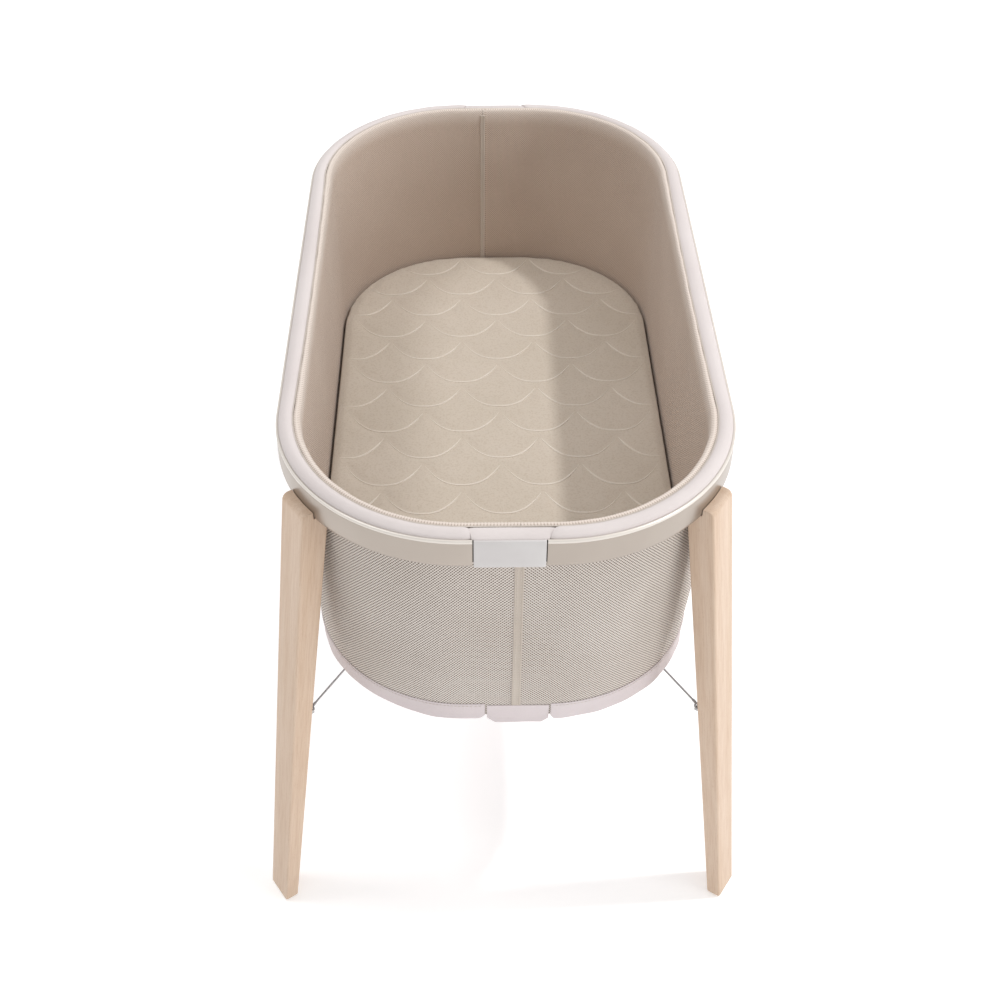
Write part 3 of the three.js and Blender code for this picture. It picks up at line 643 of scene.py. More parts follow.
def rod_cutter(matrix, radius, low, high, sides=32):
    """A round bar along a frame's Z axis, to cut with."""
    angles = np.linspace(0, 2 * math.pi, sides, endpoint=False)
    places = [matrix @ Vector((radius * math.cos(a), radius * math.sin(a), z))
              for z in (low, high) for a in angles]
    return placed("cutter", outward_mesh("cutter", places, tube_faces(2, sides)))


# ---------- leg frames ----------

LEG_LEAN = math.atan2(LEG_FOOT_RADIUS - LEG_TOP_RADIUS, RIM_BOTTOM)


def leg_frame(corner):
    """A leg's own frame: the bend's centre is the origin and +X points out along the leg's plane."""
    side_x, side_y = CORNERS[corner]
    angle = math.atan2(side_y * math.sin(LEG_ANGLE), side_x * math.cos(LEG_ANGLE))
    return Matrix.Translation((side_x * END_HALF, side_y * SIDE_HALF, 0)) @ Matrix.Rotation(angle, 4, "Z")


def bolt_frame(corner):
    """On the rim's underside, with +Z up the bolt."""
    tilt = Matrix.Rotation(-LEG_LEAN, 4, "Y")
    return leg_frame(corner) @ Matrix.Translation((BOLT_OFFSET, 0, RIM_BOTTOM)) @ tilt


# ---------- rim ----------

def rim_section():
    """The channel, open towards the basket, with a rolled bead along its upper edge."""
    top, bottom = RIM_TOP / MM, RIM_BOTTOM / MM
    depth, wall = RIM_DEPTH / MM, RIM_WALL / MM
    return rounded((
        (-depth, top, 0.6), (-3.3, top, 0.3), (-2.9, top + 1.1, 0.7), (0, top + 1.1, 1.6),
        (0, top - 2.6, 1.0), (-0.7, top - 3.6, 0.4), (-0.35, top - 8, 2),
        (0, (top + bottom) / 2 - 2, 6), (-0.15, bottom + 4, 1.5), (-0.9, bottom, 1.6), (-depth, bottom, 0.6),
        (-depth, bottom + wall, 0.6), (-wall, bottom + wall, 1.2), (-wall, top - wall, 1.2),
        (-depth, top - wall, 0.6)), 3)


def add_rim(look):
    slit = CONNECTOR_HALF + CONNECTOR_SLIT
    legs = {"left": ("front_left", "rear_left"), "right": ("front_right", "rear_right")}
    for side, start in (("left", 0), ("right", HALFWAY)):
        distances = stops(start + slit, start + HALFWAY - slit, 5 * MM)
        band = sweep(f"rim_band_{side}", distances, rim_section(), look, sharp=50)
        bolts = [rod_cutter(bolt_frame(corner), 4 * MM, -6 * MM, 6 * MM) for corner in legs[side]]
        rivets = [rivet_cutter(start + RIVET_AT), rivet_cutter(start + HALFWAY - RIVET_AT)]
        carve(band, bolts + rivets)
        label(band, "rim", f"rim_frame_{side}")


def rivet_cutter(distance):
    place, _ = outline(np.array(distance), -RIM_DEPTH / 2 - 0.5 * MM)
    return rod_cutter(Matrix.Translation((*place, RIM_BOTTOM)), 1.9 * MM, -3 * MM, 4 * MM)


def add_connectors(look):
    """The light grey caps over the joints of the rim, flush with its face."""
    top, bottom = RIM_TOP / MM, CONNECTOR_BOTTOM / MM
    depth, wall, rim_bottom = RIM_DEPTH / MM, COVER_WALL / MM, RIM_BOTTOM / MM
    section = rounded((
        (-depth, top, 0.8), (-3.3, top, 0.3), (-2.9, top + 0.9, 0.7), (0.05, top + 0.9, 1.6),
        (0.15, (top + bottom) / 2, 8), (0.05, bottom, 1.6),
        (-depth, bottom, 0.8), (-depth, rim_bottom + wall, 0.5), (-wall, rim_bottom + wall, 0.8),
        (-wall, top - wall, 0.8), (-depth, top - wall, 0.5)), 4)
    for end, middle in (("front", 0), ("rear", HALFWAY)):
        distances = middle + np.concatenate([
            [-CONNECTOR_HALF, -CONNECTOR_HALF + 0.35 * MM, -CONNECTOR_HALF + 1 * MM],
            np.linspace(-CONNECTOR_HALF, CONNECTOR_HALF, 9)[1:-1],
            [CONNECTOR_HALF - 1 * MM, CONNECTOR_HALF - 0.35 * MM, CONNECTOR_HALF]])
        shrink = np.ones(len(distances))
        shrink[[0, -1]] = 0.6
        shrink[[1, -2]] = 0.15
        shrink[2:-2] = 0
        centre = np.array((-depth / 2 * MM, (top + bottom) / 2 * MM))
        sections = section + np.sign(centre - section) * (shrink * 0.9 * MM)[:, None, None]
        cap = sweep(f"connector_cap_{end}", distances, sections, look, sharp=55)
        label(cap, "connector", f"connector_cover_{end}")


# ---------- trim ----------

SEAM_OUT = -16.8  # the seam between trim and lining at the ends, inside the outline, in millimetres
SEAM_SIDE = (-2.6, -2.8)  # how much further in it lies along the sides, and more at their middle
LINING_SIDE = -4.4  # how much further in the top of the lining lies along the sides
PIPING_HEIGHT = 686.1 * MM
TRIM_TOP = (
    (-3.6, 680.35), (-3.1, 682.2), (-4.2, 684.8), (-7, 687.2), (-10.6, 688.6), (-14.2, 688),
    (SEAM_OUT + 0.3, 685.7), (SEAM_OUT + 0.1, 683), (SEAM_OUT + 0.1, 680.6), (-15.5, 680.35), (-9, 680.35))
FLAP_TOP = (
    (-2.6, 680.35), (-2, 681.4), (-3, 683.2), (-6.4, 685.5), (-10.6, 686.6), (-14.2, 686.5),
    (SEAM_OUT + 0.3, 684.9), (SEAM_OUT + 0.1, 682.6), (SEAM_OUT + 0.1, 680.6), (-15.5, 680.35), (-9, 680.35))


def side_share(distances):
    """0 at the front and rear ends and 1 along the sides."""
    return np.cos(np.interp(np.mod(distances, AROUND), OUTLINE_AT, OUTLINE_TURN)) ** 2


def seam_shift(distances):
    """How much further in than at the ends the trim's inner seam is."""
    middle = 1 - np.clip(np.abs(outline(distances)[0][..., 1]) / SIDE_HALF, 0, 1) ** 2
    return (SEAM_SIDE[0] * side_share(distances) + SEAM_SIDE[1] * middle) * MM


def trim_sections(distances, profile, swell):
    """The padded section at each distance. The pad is a little uneven, as hand-fitted wadding is."""
    loop = smooth(np.array(profile) * MM, 5)
    middle = np.array((-9.5 * MM, 681 * MM))
    inner = np.clip(-loop[:, 0] / (-SEAM_OUT * MM), 0, 1) ** 2
    wider = seam_shift(distances)[:, None] * inner[None, :]
    loop = np.stack([loop[None, :, 0] + wider, np.broadcast_to(loop[:, 1], wider.shape)], axis=-1)
    waves = np.sin(distances * 41) + 0.6 * np.sin(distances * 97 + 1.3) + 0.5 * np.sin(distances * 173 + 0.4)
    lift = np.clip((loop[..., 1] - 680.4 * MM) / (8 * MM), 0, 1)
    sections = loop + lift[..., None] * waves[:, None, None] * swell * np.array((0.25, 1))
    ends = np.minimum(distances - distances[0], distances[-1] - distances)
    tuck = np.exp(-(ends / (3.2 * MM)) ** 2)[:, None, None] * 0.12
    return sections + (middle - sections) * tuck


def add_trim(trim, piping):
    """Two padded rolls on top of the rim, a flat flap over each connector and the piped seam inside."""
    slant = 6 * MM
    for side, start in (("left", 0), ("right", HALFWAY)):
        distances = stops(start + FLAP_INNER_HALF - slant, start + HALFWAY - FLAP_INNER_HALF + slant, 4 * MM)
        sections = trim_sections(distances, TRIM_TOP, 0.22 * MM)
        roll = sweep(f"trim_roll_{side}", distances, sections, trim, sharp=70)
        slanted_ends(roll, slant)
        label(roll, "trim", f"rim_trim_{side}")
    for end, middle in (("front", 0), ("rear", HALFWAY)):
        half = (FLAP_INNER_HALF + FLAP_OUTER_HALF) / 2
        distances = stops(middle - half, middle + half, 3 * MM)
        sections = trim_sections(distances, FLAP_TOP, 0.1 * MM)
        flap = sweep(f"trim_flap_pad_{end}", distances, sections, trim, sharp=70)
        splay(flap, half)
        label(flap, "trim", f"trim_flap_{end}")
    seam = piping_path(stops(0, AROUND, 6 * MM)[:-1])
    add_ring("trim_piping", seam, 0.75 * MM, piping, "trim", FRAME_BODY)


def across_share(piece):
    """How far across the trim each point is, from 0 at the rim's edge to 1 at the inner seam."""
    places = points_of(piece)
    return places, np.clip(inset_of(places) / (-SEAM_OUT * MM), 0, 1)


def slanted_ends(roll, slant):
    """Moves each end of a roll so that it meets the flap's slanting edge."""
    places, share = across_share(roll)
    near = np.clip(1 - (np.abs(places[:, 0]) - FLAP_OUTER_HALF) / (20 * MM), 0, 1)
    shift = (share - 0.5) * (FLAP_INNER_HALF - FLAP_OUTER_HALF) + slant - 3.4 * MM
    places[:, 0] += near * (np.sign(places[:, 0]) * shift + share * FLAP_ASKEW)
    move_points(roll, places)


def splay(flap, half):
    """Widens a flap towards the inner seam, as a trapezoid."""
    places, share = across_share(flap)
    width = FLAP_OUTER_HALF + share * (FLAP_INNER_HALF - FLAP_OUTER_HALF)
    places[:, 0] = places[:, 0] * width / half + share * FLAP_ASKEW
    move_points(flap, places)


def piping_path(distances):
    flat, _ = outline(distances, SEAM_OUT * MM + seam_shift(distances))
    return np.column_stack([flat, np.full(len(distances), PIPING_HEIGHT)])


def add_ring(name, path, radius, look, slot, body):
    """A thin round piping that closes on itself."""
    sides = 8
    points, _, cloth = tube(np.vstack([path[-2:], path, path[:2]]), radius, sides)
    points = points.reshape(-1, sides, 3)[2:-2].reshape(-1, 3)
    cloth = cloth.reshape(-1, sides, 2)[2:-2].reshape(-1, 2)
    faces = grid_faces(len(path), sides, wrap=True, wrap_rows=True)
    label(new_object(name, points, faces, look, cloth), slot, body=body)


# ---------- basket ----------

SKIRT_TUCK_AT = END_HALF + 0.45 * BEND  # where the skirt lies closest to the wall, front left


def wall_out(z):
    """How far out the outer face of the wall is at a height: negative, inside the outline."""
    heights, insets = zip(*reversed(WALL_FACE))
    return -np.interp(z / MM, heights, insets) * MM


def sheet_section(line, thickness):
    """A thin closed section on the inner side of a line of (out, z) points that runs downward."""
    along = np.gradient(line, axis=0)
    along /= np.linalg.norm(along, axis=1)[:, None]
    inward = np.stack([along[:, 1], -along[:, 0]], axis=1)
    return np.concatenate([line, (line + inward * thickness)[::-1]])


def mirrored_cloth(piece):
    """Makes the cloth coordinates run away from the front seam on both sides of the basket."""
    layer = piece.data.attributes["cloth"]
    values = np.zeros(len(layer.data) * 3, np.float32)
    layer.data.foreach_get("vector", values)
    values = values.reshape(-1, 3)
    values[:, 0] = np.minimum(values[:, 0] - SEAM_FRONT, AROUND + SEAM_FRONT - values[:, 0])
    values[:, 1] = points_of(piece)[:, 2]
    layer.data.foreach_set("vector", values.ravel())


def panel_section(distances):
    """The outer mesh, slack between its seams: it bellies a little."""
    covered = stops(WALL_BOTTOM + 3 * MM, SKIRT_TOP, 4 * MM)
    z = np.concatenate([covered, stops(SKIRT_TOP, WALL_TOP, 8 * MM)[1:]])[::-1]
    height = np.clip((z - SKIRT_TOP) / (WALL_TOP - SKIRT_TOP), 0, 1)
    belly = np.sin(np.pi * height) * 1.2 * MM
    drift = 0.35 * MM * (np.sin(distances * 9.1) + np.sin(distances * 23 + 2))
    out = wall_out(z)[None, :] + (belly * 0.5)[None, :] + drift[:, None] * np.sin(np.pi * height)[None, :]
    line = np.stack(np.broadcast_arrays(out, z[None, :]), axis=-1)
    return np.stack([sheet_section(row, 1.0 * MM) for row in line])


LINING_LINE = (
    (SEAM_OUT - 0.5, 684.6), (SEAM_OUT - 1.2, 686.6), (-20.2, 687.6), (-22.7, 686.3), (-23.8, 683.4),
    (-24.3, 678.5), (-24.6, 668), (-24.6, 648), (-25.3, 600), (-26.4, 540), (-28, 470), (-28.8, 440),
    (-31, 412), (-33.4, 392), (-37.2, 367))


def lining_section(distances):
    """The lining: a rolled lip beside the trim's seam, then down the inside of the walls."""
    line = smooth(np.array(LINING_LINE) * MM, 4, closed=False)
    height = np.clip((line[:, 1] - 440 * MM) / (240 * MM), 0, 1)
    slack = np.sin(np.pi * height) * 0.9 * MM
    drift = np.sin(distances * 11.3 + 1) + 0.7 * np.sin(distances * 27.9)
    lip = 0.25 * MM * (line[:, 1] > 675 * MM)
    wander = np.sin(distances * 61) + np.sin(distances * 143 + 0.7)
    seam = np.clip((line[:, 0] + 24.2 * MM) / ((SEAM_OUT + 24.2) * MM), 0, 1) * (line[:, 1] > 675 * MM)
    upper = np.clip((line[:, 1] - 460 * MM) / (180 * MM), 0, 1) * (1 - seam)
    wider = seam_shift(distances)[:, None] * seam[None, :]
    wider = wider + side_share(distances)[:, None] * upper[None, :] * LINING_SIDE * MM
    out = line[:, 0][None, :] - slack[None, :] * (0.5 + 0.35 * drift[:, None])
    out = out + lip[None, :] * wander[:, None] * 0.5
    out = out + wider
    lines = np.stack(np.broadcast_arrays(out, line[:, 1][None, :]), axis=-1)
    return np.stack([sheet_section(row, -0.9 * MM) for row in lines])


def add_walls(outer, inner):
    for side, start, end in (("left", SEAM_FRONT, SEAM_REAR), ("right", SEAM_REAR, SEAM_FRONT + AROUND)):
        distances = stops(start + 0.2 * MM, end - 0.2 * MM, 7 * MM)
        panel = sweep(f"mesh_panel_{side}", distances, panel_section(distances), outer, sharp=75)
        mirrored_cloth(panel)
        label(panel, "mesh", *WALLS[side])
        lining = sweep(f"mesh_lining_{side}", distances, lining_section(distances), inner, sharp=75)
        mirrored_cloth(lining)
        label(lining, "mesh")


def stitches(name, middle, z_low, z_high, out, offset, look):
    """A row of short stitches that runs down a wall, a little raised."""
    parts = []
    for z in np.arange(z_low, z_high, SEAM_STITCH):
        heights = z + np.linspace(0, 3.1 * MM, 5)
        flat, _ = outline(np.full(5, middle + offset), wall_out(heights) + out)
        path = np.column_stack([flat, heights])
        parts.append(tube(path, np.array((0.1, 0.34, 0.4, 0.34, 0.1)) * MM, 6, up=(0, -1, 0)))
    label(joined(name, parts, look), "tape", body=FRAME_BODY)


def add_seams(tape, thread):
    """The front and rear seams of the basket: an outer tape with raised edges, and an inner welt."""
    for end, middle in (("front", SEAM_FRONT), ("rear", SEAM_REAR)):
        z = stops(SKIRT_TOP - 2 * MM, RIM_BOTTOM + 6 * MM, 6 * MM)
        across = np.array((-5, -4.7, -4.1, -3.4, -2.8, -1, 0, 1, 2.8, 3.4, 4.1, 4.7, 5)) * MM
        raised = np.array((0.15, 0.9, 1.35, 0.95, 0.75, 0.7, 0.55, 0.7, 0.75, 0.95, 1.35, 0.9, 0.15)) * MM
        face = wall_strip(middle, across, z, raised + 0.5 * MM, wall_out)
        back = wall_strip(middle, across, z, np.full(len(across), -0.2 * MM), wall_out)
        piece = closed_strip(f"seam_tape_cloth_{end}", face, back, tape)
        label(piece, "tape", f"seam_tape_{end}")
        for row, offset in (("a", -2.1 * MM), ("b", 2.1 * MM)):
            stitches(f"seam_stitches_{end}_{row}", middle, z[0], z[-1] - 6 * MM, 1.35 * MM, offset, thread)
        add_welt(end, middle, tape)


def wall_strip(middle, across, z, raised, out_at):
    """A grid of points on the wall round a vertical line: across it, up it, and raised from it."""
    spread = np.broadcast_to(middle + across, (len(z), len(across)))
    flat, _ = outline(spread, out_at(z)[:, None] + raised[None, :])
    return np.concatenate([flat, np.broadcast_to(z[:, None, None], flat.shape[:2] + (1,))], axis=-1)


def closed_strip(name, face, back, look):
    """A thin closed piece between two grids of points of the same size."""
    rows, columns = face.shape[:2]
    loop = np.concatenate([face, back[:, ::-1]], axis=1)
    cloth = np.stack(np.broadcast_arrays(
        np.arange(2 * columns)[None, :] * 0.8 * MM, loop[:, :1, 2]), axis=-1).reshape(-1, 2)
    piece = new_object(name, loop.reshape(-1, 3), tube_faces(rows, 2 * columns), look, cloth, 60)
    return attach(piece, FRAME_BODY)


def lining_out(z):
    """How far out the inner face of the lining is at a height."""
    line = np.array(LINING_LINE[5:])[::-1]
    return np.interp(z / MM, line[:, 1], line[:, 0]) * MM


def add_welt(end, middle, look):
    """The narrow covered seam on the inside of the basket."""
    z = stops(MATTRESS_BOTTOM, RIM_TOP - 1 * MM, 6 * MM)
    across = np.array((-3.4, -3.1, -2.3, -1, -0.2, 0.2, 1, 2.3, 3.1, 3.4)) * MM
    raised = -np.array((0.2, 0.75, 1.05, 0.95, 0.45, 0.45, 0.95, 1.05, 0.75, 0.2)) * MM
    face = wall_strip(middle, across, z, raised - 1.4 * MM, lining_out)
    back = wall_strip(middle, across, z, np.full(len(across), 0.3 * MM), lining_out)
    label(closed_strip(f"lining_welt_{end}", face, back, look), "tape")


def skirt_line(distances, low, high, loose):
    """The skirt's outer face at each distance: flat at the top, standing off and waving at the hem."""
    z = np.linspace(high, low, 9)
    fall = np.linspace(0, 1, 9) ** 1.3
    wave = 0.55 * np.sin(distances * 31) + 0.35 * np.sin(distances * 71 + 1)
    wave = wave + 0.3 * np.sin(distances * 133 + 2)
    turn = np.interp(np.mod(distances, AROUND), OUTLINE_AT, OUTLINE_TURN)
    in_bend = np.abs(np.sin(2 * turn))
    tuck = np.exp(-((distances - SKIRT_TUCK_AT) / (95 * MM)) ** 2)
    stand = (0.6 + 1.2 + 2.0 * in_bend + 0.9 * wave) * (1 - 0.75 * tuck) * loose * MM
    out = wall_out(np.maximum(z, WALL_BOTTOM))[None, :] + 1.0 * MM + stand[:, None] * fall[None, :]
    lift = (0.6 * np.sin(distances * 17) + 0.5 * np.sin(distances * 47 + 1) + 0.6 * tuck)[:, None]
    lift = lift * fall[None, :] * MM * loose
    return np.stack([out, z[None, :] + lift], axis=-1)


def add_skirts(cloth, thread):
    front_tab = SEAM_FRONT - TAB_SHIFT
    rear_tab = SEAM_REAR + TAB_SHIFT
    reach = TAB_HALF + TAB_NOTCH
    bands = (("left", front_tab + reach, rear_tab - reach),
             ("right", rear_tab + reach, front_tab + AROUND - reach))
    for side, start, end in bands:
        distances = stops(start, end, 4 * MM)
        lines = skirt_line(distances, SKIRT_BOTTOM, SKIRT_TOP, 1.0)
        cut_corners(lines, distances, start, end)
        skirt_piece(f"skirt_band_{side}", distances, lines, cloth, f"skirt_{side}")
        hem_stitches(f"skirt_stitches_{side}", distances, lines, thread)
    for end, middle in (("front", front_tab), ("rear", rear_tab)):
        distances = stops(middle - TAB_HALF, middle + TAB_HALF, 3 * MM)
        lines = skirt_line(distances, TAB_BOTTOM, SKIRT_TOP - 3 * MM, 0.8)
        cut_corners(lines, distances, distances[0], distances[-1], 9 * MM, 8 * MM)
        skirt_piece(f"skirt_tab_cloth_{end}", distances, lines, cloth, f"skirt_tab_{end}")


def cut_corners(lines, distances, start, end, width=5 * MM, rise=6 * MM):
    """Slants the lower corners of a band at its two ends."""
    near = np.minimum(distances - start, end - distances)
    lift = np.clip(1 - near / width, 0, 1)[:, None] * np.linspace(0, 1, lines.shape[1])[None, :] * rise
    lines[..., 1] += lift


def skirt_piece(name, distances, lines, look, node):
    sections = np.stack([sheet_section(line, 0.9 * MM) for line in lines])
    piece = sweep(name, distances, sections, look, sharp=75)
    label(piece, "skirt", node)


def hem_stitches(name, distances, lines, look):
    """A stitched line along the top of the skirt."""
    parts = []
    for at in np.arange(distances[0] + 4 * MM, distances[-1] - 6 * MM, HEM_STITCH):
        along = at + np.linspace(0, 3.2 * MM, 4)
        top = np.array([np.interp(along, distances, lines[:, 1, k]) for k in range(2)]).T
        flat, _ = outline(along, top[:, 0] + 0.25 * MM)
        path = np.column_stack([flat, top[:, 1]])
        parts.append(tube(path, np.array((0.1, 0.36, 0.36, 0.1)) * MM, 6))
    label(joined(name, parts, look), "tape", body=FRAME_BODY)


def add_floor_fabric(look):
    """The cloth under the base board, sagging a little, with a folded edge."""
    low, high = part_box("floor_fabric")
    shares = np.concatenate([np.linspace(0, 0.9, 16), np.linspace(0.93, 1, 6)])
    distances = stops(0, AROUND, 12 * MM)[:-1]
    edge, _ = outline(distances, np.full(len(distances), -FLOOR_INSET))
    rings = shares[:, None, None] * edge[None]
    sag = np.cos(shares * math.pi / 2) ** 2 * 2.0 * MM
    height = np.broadcast_to((low.z - sag)[:, None, None], rings.shape[:2] + (1,))
    under = np.concatenate([rings, height], axis=-1)
    over = under + np.array((0, 0, high.z - low.z - 0.2 * MM))
    count = len(distances)
    places = np.concatenate([under[1:].reshape(-1, 3), over[1:][::-1].reshape(-1, 3),
                             under[0, :1], over[0, :1]])
    rows = 2 * (len(shares) - 1)
    faces = grid_faces(rows, count, wrap=True)
    bottom_middle, top_middle = len(places) - 2, len(places) - 1
    last = (rows - 1) * count
    faces += [(bottom_middle, i, (i + 1) % count) for i in range(count)]
    faces += [(top_middle, last + i, last + (i + 1) % count) for i in range(count)]
    piece = new_object("floor_cloth", places, faces, look, places[:, :2], 60)
    label(piece, "skirt", "floor_fabric", body=FRAME_BODY)


# ---------- mattress ----------

def mattress_shell(inset, top):
    """A closed slab in the basket's outline, drawn in below and rounded at its upper and lower edges."""
    height = top - MATTRESS_BOTTOM
    edge = np.radians(np.linspace(0, 90, 7))
    low_round, high_round = 6 * MM, 5 * MM
    lower = np.stack([low_round * (1 - np.sin(edge)), low_round * (1 - np.cos(edge))], axis=1)
    upper = np.stack([high_round * (1 - np.cos(edge)), height - high_round * (1 - np.sin(edge))], axis=1)
    profile = np.concatenate([lower, upper])
    taper = MATTRESS_TAPER * np.clip(1 - profile[:, 1] / (height * 0.85), 0, 1)
    distances = stops(0, AROUND, 9 * MM)[:-1]
    rings = []
    for (inward, z), drawn in zip(profile, taper):
        flat, _ = outline(distances, np.full(len(distances), -(inset + inward + drawn)))
        rings.append(np.column_stack([flat, np.full(len(distances), MATTRESS_BOTTOM + z)]))
    return np.concatenate(rings), tube_faces(len(rings), len(distances))


def voxel_mesh(piece):
    """Remakes a closed piece from even quads, as cloth needs."""
    remesh = piece.modifiers.new("voxels", "REMESH")
    remesh.mode = "VOXEL"
    remesh.voxel_size = VOXEL
    apply_modifiers(piece)


def simulate_pad(piece):
    """Cloth under pressure from inside, whose points may move no further than SWELL_CAP."""
    before = points_of(piece)
    cloth = piece.modifiers.new("cloth", "CLOTH")
    cloth.settings.use_pressure = True
    cloth.settings.uniform_pressure_force = CLOTH_PRESSURE
    cloth.settings.quality = 4
    cloth.settings.mass = 0.3
    cloth.settings.tension_stiffness = 15
    cloth.settings.compression_stiffness = 15
    cloth.settings.bending_stiffness = 0.5
    cloth.settings.effector_weights.gravity = 0
    cloth.collision_settings.use_self_collision = False
    scene = bpy.context.scene
    for step in range(1, CLOTH_FRAMES + 1):
        scene.frame_set(step)
        bpy.context.view_layer.update()
    apply_modifiers(piece)
    scene.frame_set(1)
    moved = np.clip(points_of(piece) - before, -SWELL_CAP, SWELL_CAP)
    moved[:, 2] = np.where(before[:, 2] > MATTRESS_BOTTOM + 20 * MM, np.maximum(moved[:, 2], 0), 0)
    move_points(piece, before + moved)


def scallop_arcs():
    """The quilting: rows of arcs that hang towards the front, each row half a scallop along."""
    reach = np.linspace(-0.96, 0.96, 33)
    arcs = []
    row = 0
    while SCALLOP_FIRST_Y - (row - 1) * SCALLOP_ROW > -RIM_LENGTH / 2:
        y = SCALLOP_FIRST_Y - (row - 1) * SCALLOP_ROW
        shift = SCALLOP_X + (SCALLOP_PITCH / 2 if row % 2 == 0 else 0)
        for column in range(-3, 4):
            x = shift + column * SCALLOP_PITCH + reach * SCALLOP_PITCH / 2
            arcs.append(np.column_stack([x, y + SCALLOP_RISE * np.abs(reach) ** SCALLOP_POWER]))
        row += 1
    return arcs


def inside_top(points, margin):
    """Which points lie on the mattress's flat top, at least margin from its edge."""
    return inset_of(points) > MATTRESS_INSET + margin


def distance_to(arcs, points):
    """The distance of each point from the nearest arc."""
    lines = np.concatenate(arcs)
    tree = KDTree(len(lines))
    for i, (x, y) in enumerate(lines):
        tree.insert((x, y, 0), i)
    tree.balance()
    return np.array([tree.find((x, y, 0))[2] for x, y in points])


def quilted(piece, arcs):
    """Puffs the cells between the arcs, on the top only."""
    places = points_of(piece)
    top = places[:, 2] > MATTRESS_TOP - 8 * MM
    gap = distance_to(arcs, places[top, :2])
    puff = 1 - np.exp(-(gap / (9 * MM)) ** 2)
    inner = np.clip((inset_of(places[top]) - MATTRESS_INSET - 6 * MM) / (24 * MM), 0, 1)
    places[top, 2] += (puff - 0.8) * 1.8 * MM * inner
    move_points(piece, places)


def add_mattress(quilt, thread, piping):
    places, faces = mattress_shell(MATTRESS_INSET - 1 * MM, MATTRESS_TOP + 2 * MM)
    pad = new_object("mattress_pad", places, faces, quilt, places[:, :2], 60)
    voxel_mesh(pad)
    simulate_pad(pad)
    finer = pad.modifiers.new("finer", "SUBSURF")
    finer.levels = finer.render_levels = 1
    apply_modifiers(pad)
    arcs = scallop_arcs()
    quilted(pad, arcs)
    pad.data.shade_smooth()
    store(pad.data, "cloth", points_of(pad))
    label(pad, "quilt", "mattress_cover", "mattress_core", body=MATTRESS_BODY)
    add_quilt_lines(pad, arcs, thread)
    add_mattress_hem(piping)


def add_quilt_lines(pad, arcs, look):
    """The raised lines of the quilting, laid on the pad. They are painted paler than the cloth as a painted
    highlight, and one arm of each arc is made thinner, as painted shade on the side away from the main light.
    """
    surface = BVHTree.FromObject(pad, bpy.context.evaluated_depsgraph_get())
    above = MATTRESS_TOP + 50 * MM
    parts = []
    for arc in arcs:
        kept = np.flatnonzero(inside_top(arc, 8 * MM))
        for run in np.split(kept, np.flatnonzero(np.diff(kept) > 1) + 1):
            if len(run) < 4:
                continue
            line = arc[run]
            height = [surface.ray_cast((x, y, above), (0, 0, -1))[0].z for x, y in line]
            share = np.linspace(-1, 1, len(line))
            # Painted shade: the arm away from the main light is made thinner, so the line's painted highlight
            # fades on that side.
            slack = np.clip(share * np.sign(arc[:, 0].mean() - 0.08), 0, 1)
            radii = 1.6 * MM * np.clip((1 - np.abs(share)) * 3 + 0.2, 0, 1) * (1 - 0.6 * slack)
            path = np.column_stack([line, np.array(height) + 0.1 * MM])
            parts.append(tube(path, radii, 8, squash=0.6))
    lines = joined("quilt_lines", parts, look, 80)
    store(lines.data, "cloth", points_of(lines))
    label(lines, "quilt", body=MATTRESS_BODY)


def add_mattress_hem(look):
    """The bound lower edge of the cover."""
    distances = stops(0, AROUND, 8 * MM)[:-1]
    out = -(MATTRESS_INSET + MATTRESS_TAPER + 3.2 * MM)
    flat, _ = outline(distances, np.full(len(distances), out))
    path = np.column_stack([flat, np.full(len(distances), MATTRESS_BOTTOM + 1.6 * MM)])
    add_ring("mattress_hem", path, 1.5 * MM, look, "quilt", MATTRESS_BODY)


# ---------- legs and brace ----------

def board_section(depth, breadth, radius):
    """A rectangle with rounded corners round the origin."""
    points = []
    for quarter, (x, y) in enumerate(((1, 1), (-1, 1), (-1, -1), (1, -1))):
        for angle in np.radians(90 * quarter + np.linspace(0, 90, 6)):
            points.append((x * (depth / 2 - radius) + radius * math.cos(angle),
                           y * (breadth / 2 - radius) + radius * math.sin(angle)))
    return np.array(points)


def leg_board(corner):
    """The tapered board from foot to lip, with softened ends."""
    soft = np.array((0, 0.25, 0.9)) * MM
    crown = 1 - np.linspace(1, 0, 7) ** 2
    middle_heights = stops(FOOT_LIFT + 8 * MM, LEG_TOP - LEG_TOP_ROUND - 4 * MM, 14 * MM)
    heights = np.concatenate([FOOT_LIFT + soft, middle_heights, LEG_TOP - LEG_TOP_ROUND * (1 - crown)])
    shrink = np.zeros(len(heights))
    shrink[:3] = np.array((0.9, 0.3, 0)) * MM
    shrink[-7:] = (1 - np.sqrt(1 - np.linspace(0, 1, 7) ** 4)) * 1.6 * MM
    pull = np.zeros(len(heights))
    pull[-7:] = (1 - np.sqrt(1 - crown ** 2)) * LEG_TOP_ROUND
    matrix = leg_frame(corner)
    rings = []
    for z, less, inward in zip(heights, shrink, pull):
        down = 1 - z / RIM_BOTTOM
        depth = LEG_DEPTHS[0] + (LEG_DEPTHS[1] - LEG_DEPTHS[0]) * down - 2 * less - inward
        breadth = LEG_BREADTHS[0] + (LEG_BREADTHS[1] - LEG_BREADTHS[0]) * down - 2 * less
        middle = LEG_TOP_RADIUS + (LEG_FOOT_RADIUS - LEG_TOP_RADIUS) * down - inward / 2
        section = board_section(depth, breadth, LEG_EDGE)
        rings += [matrix @ Vector((x + middle, y, z)) for x, y in section]
    return rings, tube_faces(len(heights), len(rings) // len(heights))


